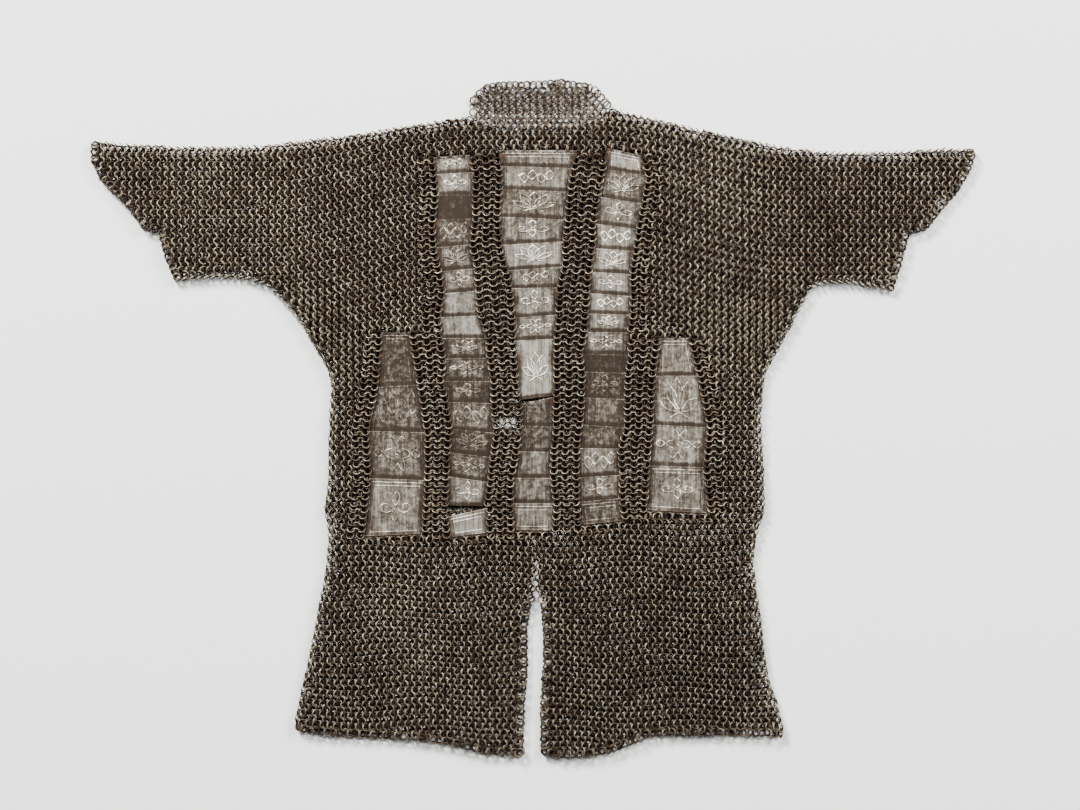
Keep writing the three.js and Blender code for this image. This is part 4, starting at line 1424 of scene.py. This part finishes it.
class PlateSizes(bpy.types.PropertyGroup):
    """Sizes of the steel plates' details"""

    strip_pitch: length(
        "Link pitch", "Distance between link holes and their rings down a long edge", 0.0074, 0.004, 0.02,
    )
    hole: length("Link hole", "Diameter of a link hole", 0.0019, 0.001, 0.004)
    hole_inset: length(
        "Hole inset", "Distance of the link holes' middles from the plate's edge", 0.0024, 0.0016, 0.006,
    )
    end_hole_spacing: length(
        "End hole spacing", "Distance between link holes along the ends of a column", 0.0061, 0.004, 0.02,
    )
    crown: length("Crown", "How far a plate is arched across", 0.0005, 0.0, 0.003)
    border: length("Border", "Width of the plain border round a raised figure", 0.0065, 0.002, 0.02)
    relief_width: length("Stroke width", "Width of a raised stroke", 0.0022, 0.0005, 0.004)
    relief: length("Stroke height", "Height of a raised stroke", 0.00034, 0.0, 0.002)


class PlateColours(bpy.types.PropertyGroup):
    """Colours of the steel plates, as sRGB hex codes"""

    unworn: StringProperty(name="Unworn", description="Thick brown patina, not rubbed", default="#393027")
    dull: StringProperty(name="Dull", description="Thin patina over grey steel", default="#595045")
    steel: StringProperty(name="Steel", description="Grey worn steel", default="#9b9283")
    bright: StringProperty(name="Bright", description="Steel rubbed bright", default="#e6e0d4")
    rust: StringProperty(name="Rust", description="Orange rust at the edges", default="#8a5a34")


class StudioSettings(bpy.types.PropertyGroup):
    """The floor, the camera and the lights"""

    floor: StringProperty(name="Floor", description="White paper", default="#f4f4f2")
    floor_shade: StringProperty(
        name="Floor tooth", description="The paper's slightly darker fibres", default="#f0f0ee",
    )
    floor_size: length("Floor size", "Side of the square sheet of paper", 8.0, 2.0, 30.0)
    camera_height: length("Camera height", "Height of the camera above the floor", 2.93, 1.0, 20.0)
    lens: FloatProperty(
        name="Lens", description="Focal length of the lens in millimetres",
        default=85.0, min=20.0, max=300.0,
    )
    key_power: FloatProperty(
        name="Key light", description="Power of the large soft light at the upper left",
        default=1020.0, min=0.0, max=5000.0, unit="POWER",
    )
    fill_power: FloatProperty(
        name="Fill light", description="Power of the larger soft light at the upper right",
        default=600.0, min=0.0, max=5000.0, unit="POWER",
    )
    sky: FloatProperty(
        name="Room light", description="Strength of the even light of the white room",
        default=0.18, min=0.0, max=5.0,
    )


def ensure_materials(context):
    """Makes the shirt's two materials once."""
    if MAIL_MATERIAL not in bpy.data.materials:
        make_mail_material(context.scene.mail_shirt_ring_colours)
    if PLATE_MATERIAL not in bpy.data.materials:
        make_plate_material(context.scene.mail_shirt_plate_colours)


class MAILSHIRT_OT_back(bpy.types.Operator):
    """Weaves the level mail of the back in three pieces: yoke, waist and skirt"""

    bl_idname = "mail_shirt.back"
    bl_label = "Weave the back"

    def execute(self, context):
        ensure_materials(context)
        sizes = context.scene.mail_shirt_rings
        bands = [(YOKE_FOOT, math.inf), (SKIRT_HEAD, YOKE_FOOT), (-math.inf, SKIRT_HEAD)]
        parts = split_by_height(back_rings(sizes), bands)
        names = ("back_yoke_mail", "back_waist_mail", "back_skirt_mail")
        for seed, (part, name) in enumerate(zip(parts, names), start=1):
            weave(name, [(part, True)], sizes, seed, ["back_mail"])
        return {"FINISHED"}


class MAILSHIRT_OT_strips(bpy.types.Operator):
    """Weaves the turned mail beside the plate columns and links it through the plates' holes"""

    bl_idname = "mail_shirt.strips"
    bl_label = "Weave the strips beside the plates"

    def execute(self, context):
        ensure_materials(context)
        layers = [(strip_rings(context.scene.mail_shirt_plates), True)]
        sizes = context.scene.mail_shirt_rings
        weave("column_mail", layers, sizes, 4, ["back_mail"], flat=COLUMN_MAIL_FLAT)
        return {"FINISHED"}


class MAILSHIRT_OT_sleeves(bpy.types.Operator):
    """Weaves both sleeves, each a flattened tube in two layers"""

    bl_idname = "mail_shirt.sleeves"
    bl_label = "Weave the sleeves"

    def execute(self, context):
        ensure_materials(context)
        sizes = context.scene.mail_shirt_rings
        left = sleeve_rings(
            sizes, LEFT_SLEEVE, [LEFT_SLEEVE_TOP, LEFT_SLEEVE_FOOT], LEFT_CUFF,
            lambda at: at[:, 0] < LEFT_ARMHOLE_X,
        )
        right = sleeve_rings(
            sizes, RIGHT_SLEEVE, [RIGHT_SLEEVE_TOP, RIGHT_SLEEVE_FOOT], RIGHT_CUFF,
            lambda at: at[:, 0] > RIGHT_ARMHOLE_X,
        )
        for side, (upper, lower), seed in (("left", left, 5), ("right", right, 6)):
            layers = [(upper, True), (lower, False)]
            weave(f"{side}_sleeve_mail", layers, sizes, seed, [f"{side}_sleeve"], sides=2)
        return {"FINISHED"}


class MAILSHIRT_OT_collar(bpy.types.Operator):
    """Weaves the collar, one layer that comes down from the neck to the floor"""

    bl_idname = "mail_shirt.collar"
    bl_label = "Weave the collar"

    def execute(self, context):
        ensure_materials(context)
        sizes = context.scene.mail_shirt_rings
        layers = [(collar_rings(sizes), True)]
        weave("collar_mail", layers, sizes, 7, ["collar"], flat=COLLAR_FLAT)
        return {"FINISHED"}


class MAILSHIRT_OT_fronts(bpy.types.Operator):
    """Weaves the hidden front, open down its middle, on which the back lies"""

    bl_idname = "mail_shirt.fronts"
    bl_label = "Weave the front"

    def execute(self, context):
        ensure_materials(context)
        sizes = context.scene.mail_shirt_rings
        for side, seed in (("left", 8), ("right", 9)):
            rings = front_rings(sizes, side == "left")
            at = rings.gathered()["at"]
            below = in_strips(at)
            skirt = ~below & (at[:, 1] < SKIRT_HEAD)
            layers = [
                (rings.only(~below & ~skirt), False),
                (rings.only(below), False, *UNDER_STRIPS_WIRE),
                (rings.only(skirt), False, *UNDER_SKIRT_WIRE),
            ]
            weave(f"front_{side}_rings", layers, sizes, seed, [f"front_{side}_mail"])
        return {"FINISHED"}


class MAILSHIRT_OT_plates(bpy.types.Operator):
    """Forges the lapped steel plates of all five columns"""

    bl_idname = "mail_shirt.plates"
    bl_label = "Forge the plates"

    def execute(self, context):
        ensure_materials(context)
        sizes = context.scene.mail_shirt_plates
        for column, runs in COLUMNS.items():
            total = sum(len(run) - 1 for run in runs)
            ridge = RIDGE if column == "spine_plate" else 0.0
            digits = 2 if total > 9 else 1
            number = 0
            for run in runs:
                for index in range(len(run) - 1):
                    shape = PlateShape(run, index, number, ridge)
                    age = AGES[column][number]
                    number += 1
                    end_holes = {1: "top", total: "foot"}.get(number, "")
                    label = f"{number:0{digits}d}"
                    forge_plate(f"{column}_steel_{label}", f"{column}_{label}", shape, age, sizes, end_holes)
        return {"FINISHED"}


def add_area_light(name, power, size, at):
    """Hangs a square soft light that is turned to the middle of the shirt."""
    light = bpy.data.lights.new(name, "AREA")
    light.energy = power
    light.shape = "SQUARE"
    light.size = size
    lamp = bpy.data.objects.new(name, light)
    lamp.location = at
    lamp.rotation_euler = (-Vector(at)).to_track_quat("-Z", "Y").to_euler()
    bpy.context.scene.collection.objects.link(lamp)


class MAILSHIRT_OT_studio(bpy.types.Operator):
    """Lays the white paper, hangs the soft lights and sets the camera square above the shirt"""

    bl_idname = "mail_shirt.studio"
    bl_label = "Set the studio"

    def execute(self, context):
        studio = context.scene.mail_shirt_studio
        half = studio.floor_size / 2
        mesh = bpy.data.meshes.new("floor")
        corners = [(-half, -half, 0), (half, -half, 0), (half, half, 0), (-half, half, 0)]
        mesh.from_pydata(corners, [], [(0, 1, 2, 3)])
        mesh.materials.append(make_floor_material(studio))
        floor = bpy.data.objects.new("floor", mesh)
        context.scene.collection.objects.link(floor)

        add_area_light("key_light", studio.key_power, KEY_SIZE, KEY_AT)
        add_area_light("fill_light", studio.fill_power, FILL_SIZE, FILL_AT)
        room = bpy.data.worlds.new("White room")
        room.use_nodes = True
        background = room.node_tree.nodes["Background"]
        background.inputs["Color"].default_value = (1.0, 1.0, 1.0, 1.0)
        background.inputs["Strength"].default_value = studio.sky
        context.scene.world = room

        lens = bpy.data.cameras.new("camera")
        lens.lens = studio.lens
        lens.sensor_width = FILM_WIDTH
        camera = bpy.data.objects.new("camera", lens)
        camera.location = (*VIEW_MIDDLE, studio.camera_height)
        context.scene.collection.objects.link(camera)
        context.scene.camera = camera
        return {"FINISHED"}


OPERATORS = (
    MAILSHIRT_OT_fronts, MAILSHIRT_OT_back, MAILSHIRT_OT_strips, MAILSHIRT_OT_sleeves, MAILSHIRT_OT_collar,
    MAILSHIRT_OT_plates, MAILSHIRT_OT_studio,
)
GROUPS = {
    "mail_shirt_rings": MailSizes,
    "mail_shirt_ring_colours": MailColours,
    "mail_shirt_plates": PlateSizes,
    "mail_shirt_plate_colours": PlateColours,
    "mail_shirt_studio": StudioSettings,
}


class MAILSHIRT_PT_panel(bpy.types.Panel):
    """Lists the steps that make the shirt and the sizes and colours they use"""

    bl_idname = "MAILSHIRT_PT_panel"
    bl_label = "Mail and plate shirt"
    bl_space_type = "VIEW_3D"
    bl_region_type = "UI"
    bl_category = "Mail shirt"

    def draw(self, context):
        for operator in OPERATORS:
            self.layout.operator(operator.bl_idname)
        for name, group in GROUPS.items():
            box = self.layout.box()
            box.label(text=group.__doc__)
            for key in group.__annotations__:
                box.prop(getattr(context.scene, name), key)


def register():
    for cls in (*GROUPS.values(), *OPERATORS, MAILSHIRT_PT_panel):
        bpy.utils.register_class(cls)
    for name, group in GROUPS.items():
        setattr(bpy.types.Scene, name, PointerProperty(type=group))


def unregister():
    for name in GROUPS:
        delattr(bpy.types.Scene, name)
    for cls in (MAILSHIRT_PT_panel, *reversed(OPERATORS), *reversed(list(GROUPS.values()))):
        bpy.utils.unregister_class(cls)


def plain(box):
    """A box as plain lists of numbers."""
    return [[float(c) for c in corner] for corner in box]


def main():
    register()
    bpy.ops.mail_shirt.fronts()
    bpy.ops.mail_shirt.back()
    bpy.ops.mail_shirt.strips()
    bpy.ops.mail_shirt.sleeves()
    bpy.ops.mail_shirt.collar()
    bpy.ops.mail_shirt.plates()
    bpy.ops.mail_shirt.studio()


if __name__ == "__main__":
    main()
